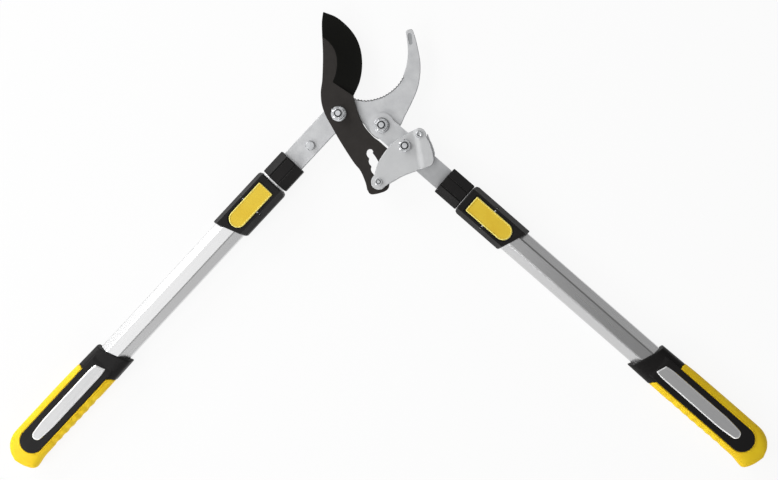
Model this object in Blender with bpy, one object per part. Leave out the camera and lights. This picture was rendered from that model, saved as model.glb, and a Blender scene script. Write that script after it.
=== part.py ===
"""Telescopic ratchet lopper, lying flat and fully open.

The main pivot of the blade is the construction origin, X points right and Y up the blade as one looks
down on the front of the tool, and Z is the thickness with the front face of the hook plate at zero.
At the end the whole assembly is moved so that it stands on Z = 0 with its box centred on X and Y.
All values are metres and degrees, written in millimetres times MM.
"""

import math

import bmesh
import bpy
import numpy as np
from mathutils import Vector
from mathutils.geometry import tessellate_polygon

MM = 0.001

# Clearances
SEAT_GAP = 0.3 * MM          # between faces that rest on each other
RUNNING_GAP = 0.3 * MM       # round every pin, bolt and sliding tube

# Pivot places in the plane of the head, from the main pivot
LEVER_PIVOT = (50.3 * MM, -14.0 * MM)
LINK_PIVOT = (77.5 * MM, -38.1 * MM)
RATCHET_PIN = (46.9 * MM, -79.8 * MM)
SPACER_RIVET = (94.2 * MM, -24.8 * MM)
STOP_STUD = (-34.0 * MM, -36.7 * MM)
LEFT_ANGLE = -133.3          # direction of each handle, in degrees from +X
RIGHT_ANGLE = -41.2
LEFT_OFFSET = 1.9 * MM       # of the left handle's middle line, to its outer side of the main pivot

# How the closed linkage turns, in degrees, all clockwise as seen from the front
LEVER_SWING = 67.6
BLADE_SWING = 48.5
LINK_SWING = 42.7            # of the link plates in space, less than the lever that carries them

# Plates
HOOK_THICKNESS = 5.0 * MM
BLADE_THICKNESS = 4.5 * MM
LINK_THICKNESS = 3.0 * MM
PLATE_CHAMFER = 0.4 * MM
TANG_WIDTH = 27.2 * MM
TANG_END_RADIUS = 14.8 * MM
EDGE_LAND = 0.5 * MM         # thickness left at the ground cutting edge
LINK_JOGGLE = 0.8 * MM
LIP_THICKNESS = 1.8 * MM
LIP_GAP = 0.4 * MM           # between the stop lip's end and the front plate

# Bolts
BOLT_RADIUS = 4.0 * MM
NUT_FLATS = 13.0 * MM
NUT_HEIGHT = 6.8 * MM
HEAD_HEIGHT = 5.3 * MM
WASHER_RADIUS = 9.2 * MM
WASHER_THICKNESS = 1.5 * MM
PIN_RADIUS = 2.5 * MM
SMALL_FLATS = 8.0 * MM
SMALL_NUT_HEIGHT = 4.0 * MM
RIVET_RADIUS = 2.0 * MM
RIVET_HEAD_RADIUS = 4.2 * MM
SPACER_RADIUS = 3.8 * MM
STUD_HEAD_RADIUS = 5.6 * MM
STUD_HEAD_HEIGHT = 3.5 * MM
THREAD_SHOW = 1.3 * MM       # how far a bolt stands out of its nut

# Ratchet slot in the tail of the blade
NOTCH_COUNT = 3
NOTCH_PITCH = 9.55 * MM
NOTCH_DEPTH = 1.5 * MM
FIRST_NOTCH = (32.6 * MM, -47.4 * MM)
NOTCH_LEAN = -74.4           # direction of the row of notches, in degrees from +X
SLOT_TOP = (36.3 * MM, -45.2 * MM)
SLOT_TOP_RADIUS = 3.9 * MM
SLOT_SPREAD = 1.6 * MM       # extra room beside the pin at the top of the slot

# Handle tubes
TUBE_WIDTH = 34.0 * MM
TUBE_HEIGHT = 22.0 * MM
TUBE_FLAT = 14.0 * MM        # width of the middle facet
TUBE_SIDE = 6.0 * MM         # height of the upright side facet
TUBE_WALL = 1.2 * MM
INNER_WALL = 1.5 * MM
TUBE_PLAY = 1.0 * MM         # space between the two tubes, which the bush and the collar take up
TUBE_SHOWN = 199.4 * MM      # outer tube between collar and grip, on the outer side
SLIDE_TRAVEL = 288.0 * MM
LOCK_HOLES = 7
LOCK_HOLE_RADIUS = 4.0 * MM

# Black fitting on the tang
LEFT_SLEEVE_START = 77.8 * MM
RIGHT_SLEEVE_START = 96.4 * MM
LEFT_COLLAR_GAP = 2.4 * MM
RIGHT_COLLAR_GAP = 0.9 * MM
SLEEVE_LENGTH = 31.5 * MM
SLEEVE_OVER_TUBE = 0.6 * MM  # how far each side stands out past the outer tube
SLEEVE_HEIGHT = 25.2 * MM
SLEEVE_GROOVE = 1.6 * MM     # width of the grooves along the sleeve's front
GROOVE_DEPTH = 0.7 * MM
SLEEVE_SOLID = 12.0 * MM     # stretch that holds the tang before the inner tube begins
TONGUE_WIDTH = 22.0 * MM     # of the tang inside the inner tube
TONGUE_REACH = 60.0 * MM

# Collar and lock lever
COLLAR_LENGTH = 74.7 * MM    # on the middle line
COLLAR_SLANT = 0.366         # run of the slanted end for each unit across
COLLAR_WALL = 3.0 * MM       # beyond each side of the outer tube
COLLAR_FRONT = 15.5 * MM     # front face above the middle plane
BACK_PLANE = 13.5 * MM       # every back face that the tool lies on, below the middle plane
COLLAR_SHOULDER = 5.5 * MM   # width of the sloped face beside the front
COLLAR_SIDE = 10.0 * MM
COLLAR_CORNER = 4.0 * MM     # how far the mouth's corners are cut back
FRAME_WIDTH = 1.9 * MM       # of the sunk border round the rocker
FRAME_DEPTH = 0.9 * MM
COLLAR_LIP = 4.0 * MM
LEVER_START = 9.5 * MM       # of the yellow rocker, from the collar's mouth
LOCK_LENGTH = 59.0 * MM
LOCK_WIDTH = 21.0 * MM
LOCK_TOP = 16.3 * MM
LOCK_FLOOR = 11.4 * MM       # underside of the rocker above the middle plane
LOCK_WALL = 1.8 * MM
LOCK_PIN_RADIUS = 1.5 * MM
LOCK_PIN_HEIGHT = 13.4 * MM
LOCK_PIN_PLACE = 27.0 * MM   # from the rocker's square end
PEG_RADIUS = 3.2 * MM
PEG_PLACE = 7.0 * MM         # from the rocker's square end
POCKET_GAP = 0.4 * MM
SPRING_RADIUS = 2.6 * MM
SPRING_WIRE = 0.4 * MM
SPRING_TURNS = 2.5

# Grip
GRIP_SLANT = 15.6 * MM       # how much further the inner side of the mouth reaches to the head
MOUTH_WALL = 4.7 * MM        # beyond each side of the outer tube
MOUTH_CUT = 0.3              # how far the mouth's front edge lies back for each unit of height
COVER_START = 33.6 * MM
STRIP_WIDTH = 29.2 * MM
STRIP_END = 167.0 * MM
STRIP_UNDER_MOUTH = 8.0 * MM # how far the strip begins inside the head part of the grip
JACKET_WALL = 2.2 * MM       # beyond each side of the outer tube
JACKET_HEIGHT = 22.4 * MM
OUTER_COVER = 7.0 * MM       # thickest place of the cover beyond each side of the outer tube
INNER_COVER = 5.5 * MM
BORDER_SWEEP = 6.5 * MM      # how far the cover's head end runs towards the head at the strip
GRIP_END = 185.5 * MM
TUBE_IN_GRIP = 140.0 * MM
COVER_HALF_HEIGHT = 12.8 * MM
INLAY_START = 31.7 * MM
INLAY_END = 149.0 * MM
INLAY_THICKNESS = 1.4 * MM
INLAY_PROUD = 0.9 * MM
INLAY_SLANT = 0.36
RIPPLES = 7
RIPPLE_DEPTH = 0.5 * MM
RIPPLE_START = 62.0 * MM
RIPPLE_PITCH = 11.4 * MM

MIDDLE_Z = -0.5 * HOOK_THICKNESS
BLADE_LOW = SEAT_GAP
BLADE_HIGH = BLADE_LOW + BLADE_THICKNESS
FRONT_LINK_LOW = BLADE_HIGH + SEAT_GAP
FRONT_LINK_HIGH = FRONT_LINK_LOW + LINK_THICKNESS
REAR_LINK_HIGH = BLADE_LOW - SEAT_GAP
REAR_LINK_LOW = REAR_LINK_HIGH - LINK_THICKNESS

SLEEVE_WIDTH = TUBE_WIDTH + 2 * SLEEVE_OVER_TUBE
COLLAR_WIDTH = TUBE_WIDTH + 2 * COLLAR_WALL
COLLAR_FLAT = COLLAR_WIDTH - 2 * COLLAR_SHOULDER
MOUTH_WIDTH = TUBE_WIDTH + 2 * MOUTH_WALL
JACKET_WIDTH = TUBE_WIDTH + 2 * JACKET_WALL

ROUND_SIDES = 18             # sides of every bolt, bore and pin, so that they lie face to face

# Materials: base colour, roughness, metallic
FINISHES = {
    "bright_plate": ((0.66, 0.67, 0.68), 0.42, 1.0),
    "blade_coat": ((0.035, 0.033, 0.031), 0.35, 0.3),
    "zinc": ((0.72, 0.73, 0.74), 0.28, 1.0),
    "tube_aluminium": ((0.76, 0.77, 0.79), 0.30, 1.0),
    "black_plastic": ((0.016, 0.015, 0.015), 0.45, 0.0),
    "yellow_plastic": ((0.85, 0.62, 0.06), 0.42, 0.0),
    "yellow_rubber": ((0.90, 0.50, 0.01), 0.55, 0.0),
    "inlay_silver": ((0.68, 0.68, 0.69), 0.38, 0.6),
    "spring_steel": ((0.5, 0.5, 0.5), 0.35, 1.0),
}


# Points and outlines

def direction(angle):
    """Unit vector at an angle in degrees from +X."""
    return np.array([math.cos(math.radians(angle)), math.sin(math.radians(angle))])


def turn(points, angle, centre=(0.0, 0.0)):
    """Turn 2D points clockwise by an angle in degrees about a centre."""
    a = -math.radians(angle)
    matrix = np.array([[math.cos(a), -math.sin(a)], [math.sin(a), math.cos(a)]])
    return (np.asarray(points, float) - centre) @ matrix.T + centre


def arc(centre, radius, start, end, count):
    """Points on an arc from one angle to another in degrees, both ends included."""
    angles = np.radians(np.linspace(start, end, count))
    return np.stack([centre[0] + radius * np.cos(angles), centre[1] + radius * np.sin(angles)], axis=1)


def circle(centre, radius, count=ROUND_SIDES):
    """Closed circle, anticlockwise, without its last point repeated."""
    return arc(centre, radius, 0, 360, count + 1)[:-1]


def smooth(points, steps=4):
    """Curve through points: a Catmull-Rom spline with a few steps to each span."""
    p = np.asarray(points, float)
    p = np.vstack([2 * p[0] - p[1], p, 2 * p[-1] - p[-2]])
    t = np.linspace(0, 1, steps, endpoint=False)[:, None]
    spans = []
    for a, b, c, d in zip(p[:-3], p[1:-2], p[2:-1], p[3:]):
        spans.append(0.5 * (2 * b + (c - a) * t + (2 * a - 5 * b + 4 * c - d) * t**2
                            + (3 * b - a - 3 * c + d) * t**3))
    return np.vstack(spans + [p[-2:-1]])


def millimetres(*pairs):
    """Pairs of millimetre values as an array in metres."""
    return np.array(pairs, float) * MM


def shifted(loop, distance):
    """Closed anticlockwise loop moved inwards by a distance along its corner bisectors."""
    loop = np.asarray(loop, float)
    edge = np.roll(loop, -1, axis=0) - loop
    normal = np.stack([-edge[:, 1], edge[:, 0]], axis=1) / np.linalg.norm(edge, axis=1)[:, None]
    before = np.roll(normal, 1, axis=0)
    scale = np.maximum(1 + np.sum(normal * before, axis=1), 0.5)
    return loop + distance * (normal + before) / scale[:, None]


def octagon(width, height, flat, side):
    """Section of a faceted tube, anticlockwise, across and up."""
    w, h, f, s = width / 2, height / 2, flat / 2, side / 2
    return np.array([(w, -s), (w, s), (f, h), (-f, h), (-w, s), (-w, -s), (-f, -h), (f, -h)])


# Meshes

def cap_faces(loops, facing_up):
    """Triangles that fill an outline with holes, all facing up or all facing down."""
    flat = [[Vector((p[0], p[1], 0)) for p in loop] for loop in loops]
    points = np.vstack(loops)
    faces = []
    for a, b, c in tessellate_polygon(flat):
        ab, ac = points[b] - points[a], points[c] - points[a]
        up = ab[0] * ac[1] - ab[1] * ac[0] > 0
        faces.append((a, b, c) if up == facing_up else (a, c, b))
    return faces


def plate(outline, holes, low, high, chamfer=PLATE_CHAMFER):
    """Flat plate with holes, its outer edges chamfered. All loops run anticlockwise."""
    levels = [(low, chamfer), (low + chamfer, 0), (high - chamfer, 0), (high, chamfer)]
    if not chamfer:
        levels = [(low, 0), (high, 0)]
    verts, faces, starts = [], [], []
    count = len(outline) + sum(len(h) for h in holes)
    for z, inset in levels:
        starts.append(len(verts))
        loops = [shifted(outline, inset) if inset else outline] + list(holes)
        verts += [(p[0], p[1], z) for loop in loops for p in loop]
    faces += cap_faces([shifted(outline, chamfer)] + list(holes), False)
    offset = starts[-1]
    faces += [tuple(i + offset for i in f) for f in cap_faces([shifted(outline, chamfer)] + list(holes), True)]
    for lower, upper in zip(starts[:-1], starts[1:]):
        faces += ring_faces(lower, upper, len(outline))
    first = len(outline)
    for hole in holes:
        faces += [f[::-1] for f in ring_faces(first, starts[-1] + first, len(hole))]
        first += len(hole)
    return drop_unused(verts, faces)


def ring_faces(lower, upper, count):
    """Quads between two rings of vertices that run anticlockwise, facing out."""
    return [(lower + i, lower + (i + 1) % count, upper + (i + 1) % count, upper + i) for i in range(count)]


def drop_unused(verts, faces):
    """Keep only the vertices that a face uses."""
    used = sorted({i for f in faces for i in f})
    place = {old: new for new, old in enumerate(used)}
    return [verts[i] for i in used], [tuple(place[i] for i in f) for f in faces]


def loft(rings, closed=False, bent_ends=False):
    """Skin over rings of equal length. An open loft has its two ends filled.

    Bent ends are filled with upright strips, for rings whose lower half mirrors the upper one.
    """
    count = len(rings[0])
    verts = [tuple(p) for ring in rings for p in ring]
    last = len(rings) if closed else len(rings) - 1
    faces = []
    for i in range(last):
        faces += ring_faces(i * count, ((i + 1) % len(rings)) * count, count)
    if bent_ends:
        far = (len(rings) - 1) * count
        for i in range(count // 2 - 1):
            strip = (i, i + 1, count - 2 - i, count - 1 - i)
            faces.append(strip[::-1])
            faces.append(tuple(far + j for j in strip))
    elif not closed:
        faces.append(tuple(range(count))[::-1])
        faces.append(tuple(range((len(rings) - 1) * count, len(rings) * count)))
    return verts, faces


def at_height(loop, z):
    """A 2D loop lifted to a height."""
    return [(p[0], p[1], z) for p in loop]


def hexagon(flats, count=ROUND_SIDES, centre=(0.0, 0.0)):
    """Hexagon with extra points along its sides, so that it can be skinned to a circle."""
    angles = np.arange(count) * 2 * math.pi / count
    radius = flats / 2 / np.cos((angles + math.pi / 6) % (math.pi / 3) - math.pi / 6)
    return np.stack([centre[0] + radius * np.cos(angles), centre[1] + radius * np.sin(angles)], axis=1)


def bolt(centre, radius, flats, head_low, head_high, tip, count=ROUND_SIDES):
    """Hexagon head bolt that points up."""
    corner = 0.08 * flats
    return loft([
        at_height(circle(centre, flats / 2 - corner / 2, count), head_low),
        at_height(hexagon(flats, count, centre), head_low + corner / 2),
        at_height(hexagon(flats, count, centre), head_high),
        at_height(circle(centre, radius, count), head_high),
        at_height(circle(centre, radius, count), tip - radius / 4),
        at_height(circle(centre, radius * 0.8, count), tip),
    ])


def nut(centre, radius, flats, low, high, count=ROUND_SIDES):
    """Locking nut: a hexagon below and a round collar above."""
    shoulder = low + 0.68 * (high - low)
    collar = 0.43 * flats
    return loft([
        at_height(circle(centre, radius, count), low),
        at_height(hexagon(flats, count, centre), low),
        at_height(hexagon(flats, count, centre), shoulder - 0.05 * flats),
        at_height(circle(centre, 0.5 * flats, count), shoulder),
        at_height(circle(centre, collar, count), shoulder),
        at_height(circle(centre, collar, count), high - 0.05 * flats),
        at_height(circle(centre, collar - 0.06 * flats, count), high),
        at_height(circle(centre, radius, count), high),
    ], closed=True)


def ring(centre, inner, outer, low, high, count=ROUND_SIDES):
    """Washer."""
    return loft([
        at_height(circle(centre, inner, count), low),
        at_height(circle(centre, outer, count), low),
        at_height(circle(centre, outer, count), high),
        at_height(circle(centre, inner, count), high),
    ], closed=True)


def along_x(section, x, slant=0.0, shift=0.0):
    """A section across and up, set at a place along a handle. A slant moves each point with its place across."""
    return [(x + slant * p[0], p[0] + shift, p[1]) for p in section]


def prism_along(section, start, end, start_slant=0.0, end_slant=0.0):
    """A section carried along a handle between two ends, which may be slanted."""
    return loft([along_x(section, start, start_slant), along_x(section, end, end_slant)])


def tube_along(outer, inner, start, end):
    """Hollow prism between two sections with the same number of points."""
    return loft([along_x(inner, start), along_x(outer, start), along_x(outer, end), along_x(inner, end)],
                closed=True)


# Objects

def clear_scene():
    """Remove whatever the file opened with."""
    for item in list(bpy.data.objects):
        bpy.data.objects.remove(item)


def finish_named(name):
    """Material of a finish, made the first time that it is asked for."""
    material = bpy.data.materials.get(name)
    if material is None:
        colour, roughness, metallic = FINISHES[name]
        material = bpy.data.materials.new(name)
        material.use_nodes = True
        shader = material.node_tree.nodes["Principled BSDF"]
        shader.inputs["Base Color"].default_value = (*colour, 1.0)
        shader.inputs["Roughness"].default_value = roughness
        shader.inputs["Metallic"].default_value = metallic
        material.diffuse_color = (*colour, 1.0)
    return material


def empty(name, parent=None, location=(0, 0, 0), angle=0.0):
    """Empty that carries a group of pieces, turned about Z by an angle in degrees."""
    item = bpy.data.objects.new(name, None)
    item.empty_display_size = 20 * MM
    item.location = location
    item.rotation_euler = (0, 0, math.radians(angle))
    item.parent = parent
    bpy.context.collection.objects.link(item)
    return item


def new_object(name, shape, parent, mirrored=False):
    """Object from vertices and faces. A mirrored one has its across direction turned round."""
    verts, faces = shape
    if mirrored:
        verts = [(x, -y, z) for x, y, z in verts]
        faces = [tuple(f)[::-1] for f in faces]
    mesh = bpy.data.meshes.new(name)
    mesh.from_pydata([tuple(float(c) for c in v) for v in verts], [], faces)
    mesh.validate()
    item = bpy.data.objects.new(name, mesh)
    item.parent = parent
    bpy.context.collection.objects.link(item)
    return item


def piece(name, shape, finish, parent, mirrored=False, origin=None):
    """A named solid with its finish. An origin moves the mesh so that the object turns about that place."""
    item = new_object(name, shape, parent, mirrored)
    if origin is not None:
        place = Vector(origin)
        item.data.transform(item.matrix_basis.Translation(-place))
        item.location = place
    item.data.materials.append(finish_named(finish))
    item.data.shade_smooth()
    item.data.set_sharp_from_angle(angle=math.radians(28))
    return item


def combine(item, shape, operation, mirrored=False):
    """Cut a shape out of an object, or join it on, with a hidden helper."""
    helper = new_object(f"{item.name}_{operation.lower()}_{len(item.modifiers)}", shape, item.parent, mirrored)
    helper.display_type = 'WIRE'
    helper.hide_render = True
    modifier = item.modifiers.new(operation.lower(), 'BOOLEAN')
    modifier.operation = operation
    modifier.solver = 'EXACT'
    modifier.object = helper


def cut(item, shape, mirrored=False):
    """Cut a shape out of an object."""
    combine(item, shape, 'DIFFERENCE', mirrored)


# Head

def pin_track(count=13):
    """Centre of the ratchet pin as the blade sees it, from open to closed."""
    track = []
    for part in np.linspace(0, 1, count):
        link_pivot = turn(LINK_PIVOT, part * LEVER_SWING, LEVER_PIVOT)
        arm = turn(np.subtract(RATCHET_PIN, LINK_PIVOT), part * LINK_SWING)
        track.append(turn(link_pivot + arm, -part * BLADE_SWING))
    return np.array(track)


def slot_outline():
    """Ratchet slot: teeth on the left, a smooth wall on the right that clears the pin's whole track."""
    track = pin_track()
    reach = PIN_RADIUS + RUNNING_GAP
    forward = np.gradient(track, axis=0)
    forward /= np.linalg.norm(forward, axis=1)[:, None]
    spread = SLOT_SPREAD * np.linspace(0, 1, len(track)) ** 3
    right_wall = track + (reach + spread)[:, None] * np.stack([forward[:, 1], -forward[:, 0]], axis=1)
    lean = direction(NOTCH_LEAN)
    into_slot = np.array([-lean[1], lean[0]])
    teeth = []
    for number in range(NOTCH_COUNT):
        notch = np.array(FIRST_NOTCH) + number * NOTCH_PITCH * lean
        teeth += [notch - 0.20 * NOTCH_PITCH * lean + 0.25 * NOTCH_DEPTH * into_slot,
                  notch,
                  notch + 0.25 * NOTCH_PITCH * lean + 0.2 * NOTCH_DEPTH * into_slot,
                  notch + 0.55 * NOTCH_PITCH * lean + NOTCH_DEPTH * into_slot]
    seat_angle = math.degrees(math.atan2(*(track[0] - track[1])[::-1]))
    seat = arc(track[0], reach, seat_angle - 80, seat_angle + 80, 9)
    crown = arc(SLOT_TOP, SLOT_TOP_RADIUS, 10, 185, 9)
    keep = [p for p in right_wall[1:] if np.dot(p - crown[0], lean) > 1.0 * MM]
    return np.vstack([smooth(teeth, 3), seat, keep, crown])


def blade_outlines():
    """Stretches of the blade's edge, each anticlockwise: cutting edge, spine above the grind, and the rest."""
    cutting = smooth(millimetres((17.0, 21.4), (23.5, 35.7), (26.6, 50), (26.9, 64), (24.6, 77.5), (19.4, 90),
                                 (10.3, 101.8), (-2.8, 112.9), (-18.2, 119.4)))
    ground_spine = millimetres((-18.9, 118.2), (-20.3, 106.4), (-19.4, 89.9))
    rest = smooth(millimetres((-19.4, 89.9), (-18.6, 66.9), (-19.4, 40.6), (-21.2, 25.9), (-20.2, 12),
                              (-15.9, -1.0), (-8, -15.6), (2.4, -33.6), (17, -56.3), (25.2, -66.6),
                              (30.9, -79.6), (33.1, -88.6)), 3)
    foot = smooth(millimetres((33.1, -88.6), (36.3, -93.4), (41.5, -93.9), (52.0, -91.2), (57.6, -87.2),
                              (59.2, -80.5)), 3)
    side = smooth(millimetres((59.2, -80.5), (62.4, -68.0), (62.0, -54.0), (57.6, -43.0)), 3)
    shoulder = smooth(millimetres((56.9, -41.0), (47.5, -32.6), (39.6, -26.4), (30.1, -15.2), (23.5, -2.1),
                                  (18.9, 12.4), (17.0, 20.6)), 3)
    return cutting, ground_spine, np.vstack([rest[:-1], foot[:-1], side, shoulder])


def bevel_line():
    """Inner border of the ground bevel, from the spine down to the corner near the heel."""
    return smooth(millimetres((-19.4, 89.9), (-11.5, 83.6), (-4.9, 74.2), (-2.0, 61.5), (-3.4, 47.6),
                              (-7.2, 36.8)), 4)


def blade_shape():
    """Blade: a flat plate with a ground bevel on its front that runs out in a wall near the heel."""
    cutting, spine, rest = blade_outlines()
    inner = bevel_line()
    steps = len(cutting)
    ratio = np.linspace(0, 1, steps)
    place = np.linspace(0, 1, len(inner))
    inner = np.stack([np.interp(ratio, place, inner[:, 0]), np.interp(ratio, place, inner[:, 1])], axis=1)
    holes = [circle((0, 0), BOLT_RADIUS + RUNNING_GAP), slot_outline()]
    outline = np.vstack([cutting, spine[:-1], rest])
    low, land, high = BLADE_LOW, BLADE_LOW + EDGE_LAND, BLADE_HIGH
    verts = at_height(np.vstack([outline] + holes), low)
    faces = cap_faces([outline] + holes, False)
    count = len(outline)
    spine_heights = [land + (high - land) * t for t in (0.05, 0.45)]
    heights = [land] * steps + spine_heights + [high] * (count - steps - 2)
    top = len(verts)
    verts += [(p[0], p[1], z) for p, z in zip(outline, heights)]
    faces += ring_faces(0, top, count)
    flat_loops = [np.vstack([rest, inner[::-1][:-1]])] + holes
    flat_start = len(verts)
    verts += at_height(np.vstack(flat_loops), high)
    faces += [tuple(i + flat_start for i in f) for f in cap_faces(flat_loops, True)]
    hole_low, hole_high = count, flat_start + len(flat_loops[0])
    for hole in holes:
        faces += [f[::-1] for f in ring_faces(hole_low, hole_high, len(hole))]
        hole_low += len(hole)
        hole_high += len(hole)
    border = len(verts)
    verts += at_height(inner[::-1], high)
    for i in range(steps - 1):
        faces.append((top + i, top + i + 1, border + i + 1, border + i))
    faces.append((top + steps - 1, top + steps, top + steps + 1, border + steps - 1))
    heel = len(verts)
    verts.append((rest[-1][0], rest[-1][1], high))
    faces.append((top, border, heel))
    return verts, faces


def on_left_handle(along, outward=0.0):
    """Point in the plane of the head at a place along the left handle and to its outer side."""
    left = direction(LEFT_ANGLE)
    return along * left + (outward + LEFT_OFFSET) * np.array([left[1], -left[0]])


def hook_outline():
    """Hook with its serrated throat and the bar that forms the left tang, anticlockwise."""
    outer = smooth(millimetres((54, -30.2), (64, -24), (71.6, -13.6), (76.5, -3.2), (84.0, 11.5), (91.6, 29.5),
                               (94.6, 46.0), (94.7, 60.0), (92.6, 73.0), (89.6, 86.5), (86.2, 96.6)), 2)
    tip = millimetres((84.6, 98.2), (79.2, 97.0), (78.1, 94.6))
    crescent = smooth(millimetres((78.1, 94.6), (80.1, 80), (80.2, 66), (78.2, 54), (75.0, 44.4)), 3)
    throat = smooth(millimetres((75.0, 44.4), (69.0, 34.8), (60.8, 27.0), (51.5, 21.2), (41, 17.7), (30.1, 16.4),
                                (19.0, 18.2)), 12)
    teeth = serrated(throat)
    half, narrow = TANG_WIDTH / 2, TONGUE_WIDTH / 2
    bar = [on_left_handle(s, y) for s, y in ((8 * MM, half), (LEFT_SLEEVE_START + 6 * MM, half),
                                             (LEFT_SLEEVE_START + 10 * MM, narrow),
                                             (LEFT_SLEEVE_START + TONGUE_REACH, narrow),
                                             (LEFT_SLEEVE_START + TONGUE_REACH, -narrow),
                                             (LEFT_SLEEVE_START + 10 * MM, -narrow),
                                             (LEFT_SLEEVE_START + 6 * MM, -half), (23 * MM, -half))]
    crown = smooth(millimetres((19.0, 18.2), (8, 20.5), (-6, 17.5), (-13.5, 8.0)), 3)[1:]
    belly = smooth(millimetres((-2.4, -20.6), (8, -15.5), (20, -11.5), (27.4, -10.6), (34.4, -20.0),
                               (43.5, -28.2), (54, -30.2)), 3)[:-1]
    return np.vstack([outer, tip, crescent[1:-1], teeth, crown, bar, belly])


def serrated(curve):
    """Small saw teeth along a curve, each rising on one side and falling back on the other."""
    step = np.linalg.norm(np.diff(curve, axis=0), axis=1)
    travelled = np.concatenate([[0], np.cumsum(step)])
    count = int(travelled[-1] / (2.4 * MM))
    stations = np.linspace(0, travelled[-1], 2 * count + 1)
    base = np.stack([np.interp(stations, travelled, curve[:, 0]), np.interp(stations, travelled, curve[:, 1])], 1)
    forward = np.gradient(base, axis=0)
    forward /= np.linalg.norm(forward, axis=1)[:, None]
    inward = np.stack([-forward[:, 1], forward[:, 0]], axis=1)
    depth = np.where(np.arange(len(base)) % 2 == 1, 0.6 * MM, 0.0)
    return base + inward * depth[:, None]


def link_outline(grow_right=0.0):
    """Outline of a ratchet link plate, anticlockwise."""
    lobe = arc(RATCHET_PIN, 9.1 * MM, 128, 300, 9)
    bottom = smooth(millimetres((54.5, -84.8), (60.5, -81.0), (72.6, -74.0), (82, -70.0), (97.0, -65.0),
                                (105.3, -62.2)), 3)[1:]
    corner = smooth(millimetres((105.3, -62.2), (109.7, -59.0), (111.2, -53.3)), 3)[1:]
    right = millimetres((110.0, -46.3), (108.6, -41.0), (105.6, -33.0))
    right = right + [grow_right, 0]
    crown = arc(SPACER_RIVET, 7.4 * MM, -8, 118, 8)
    back = smooth(millimetres((89.5, -18.9), (81.2, -23.0), (69.5, -29.8), (59.3, -38.5), (52.2, -47.2),
                              (46.0, -57.5), (42.9, -66.8)), 3)[1:]
    return np.vstack([lobe, bottom, corner, right, crown, back])


def link_holes():
    """Holes of a link plate: its pivot, the ratchet pin and the spacer rivet."""
    return [circle(LINK_PIVOT, BOLT_RADIUS + RUNNING_GAP),
            circle(RATCHET_PIN, PIN_RADIUS + RUNNING_GAP),
            circle(SPACER_RIVET, RIVET_RADIUS + RUNNING_GAP)]


def bend_outer_part(item):
    """Joggle of the front link plate: beyond a crease its outer end stands a little higher."""
    crease = Vector((89.3 * MM, -30.0 * MM, 0))
    normal = Vector((0.985, 0.172, 0))
    width = 2.5 * MM
    mesh = bmesh.new()
    mesh.from_mesh(item.data)
    for offset in (0.0, width):
        bmesh.ops.bisect_plane(mesh, geom=mesh.verts[:] + mesh.edges[:] + mesh.faces[:], dist=1e-7,
                               plane_co=crease + normal * offset, plane_no=normal)
    for vertex in mesh.verts:
        beyond = min(max((vertex.co - crease).dot(normal) / width, 0.0), 1.0)
        vertex.co.z += LINK_JOGGLE * beyond
    bmesh.ops.triangulate(mesh, faces=[f for f in mesh.faces if len(f.verts) > 4])
    mesh.to_mesh(item.data)
    mesh.free()


def tang_shape(grow=0.0):
    """Right tang in the lever's own frame: outline seen from the front, joggled inside the sleeve."""
    start, half = RIGHT_SLEEVE_START, TANG_WIDTH / 2 + grow
    tongue = TONGUE_WIDTH / 2 + grow
    meet = math.degrees(math.acos(min(half / (TANG_END_RADIUS + grow), 1.0)))
    head = arc((0, 0), TANG_END_RADIUS + grow, 90 - meet, 270 + meet, 21)
    outline = np.vstack([head, [(start + 6 * MM, -half), (start + 10 * MM, -tongue),
                                (start + TONGUE_REACH + grow, -tongue), (start + TONGUE_REACH + grow, tongue),
                                (start + 10 * MM, tongue), (start + 6 * MM, half)]])
    return outline


def tang_side(grow=0.0):
    """Side view of the joggled tang, along and up, anticlockwise."""
    start, half = RIGHT_SLEEVE_START, 0.5 * BLADE_THICKNESS + grow
    high = BLADE_LOW + 0.5 * BLADE_THICKNESS
    bend_start, bend_end = start + 1.5 * MM, start + 10 * MM
    far = start + TONGUE_REACH + 20 * MM
    near = -40 * MM
    return np.array([(near, high - half), (bend_start, high - half), (bend_end, MIDDLE_Z - half),
                     (far, MIDDLE_Z - half), (far, MIDDLE_Z + half), (bend_end + 1.2 * MM, MIDDLE_Z + half),
                     (bend_start + 1.2 * MM, high + half), (near, high + half)])


def side_slab(outline, half_width):
    """A side view carried across, to be intersected with a plan view."""
    return loft([[(x, -half_width, z) for x, z in outline][::-1], [(x, half_width, z) for x, z in outline][::-1]])


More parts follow.
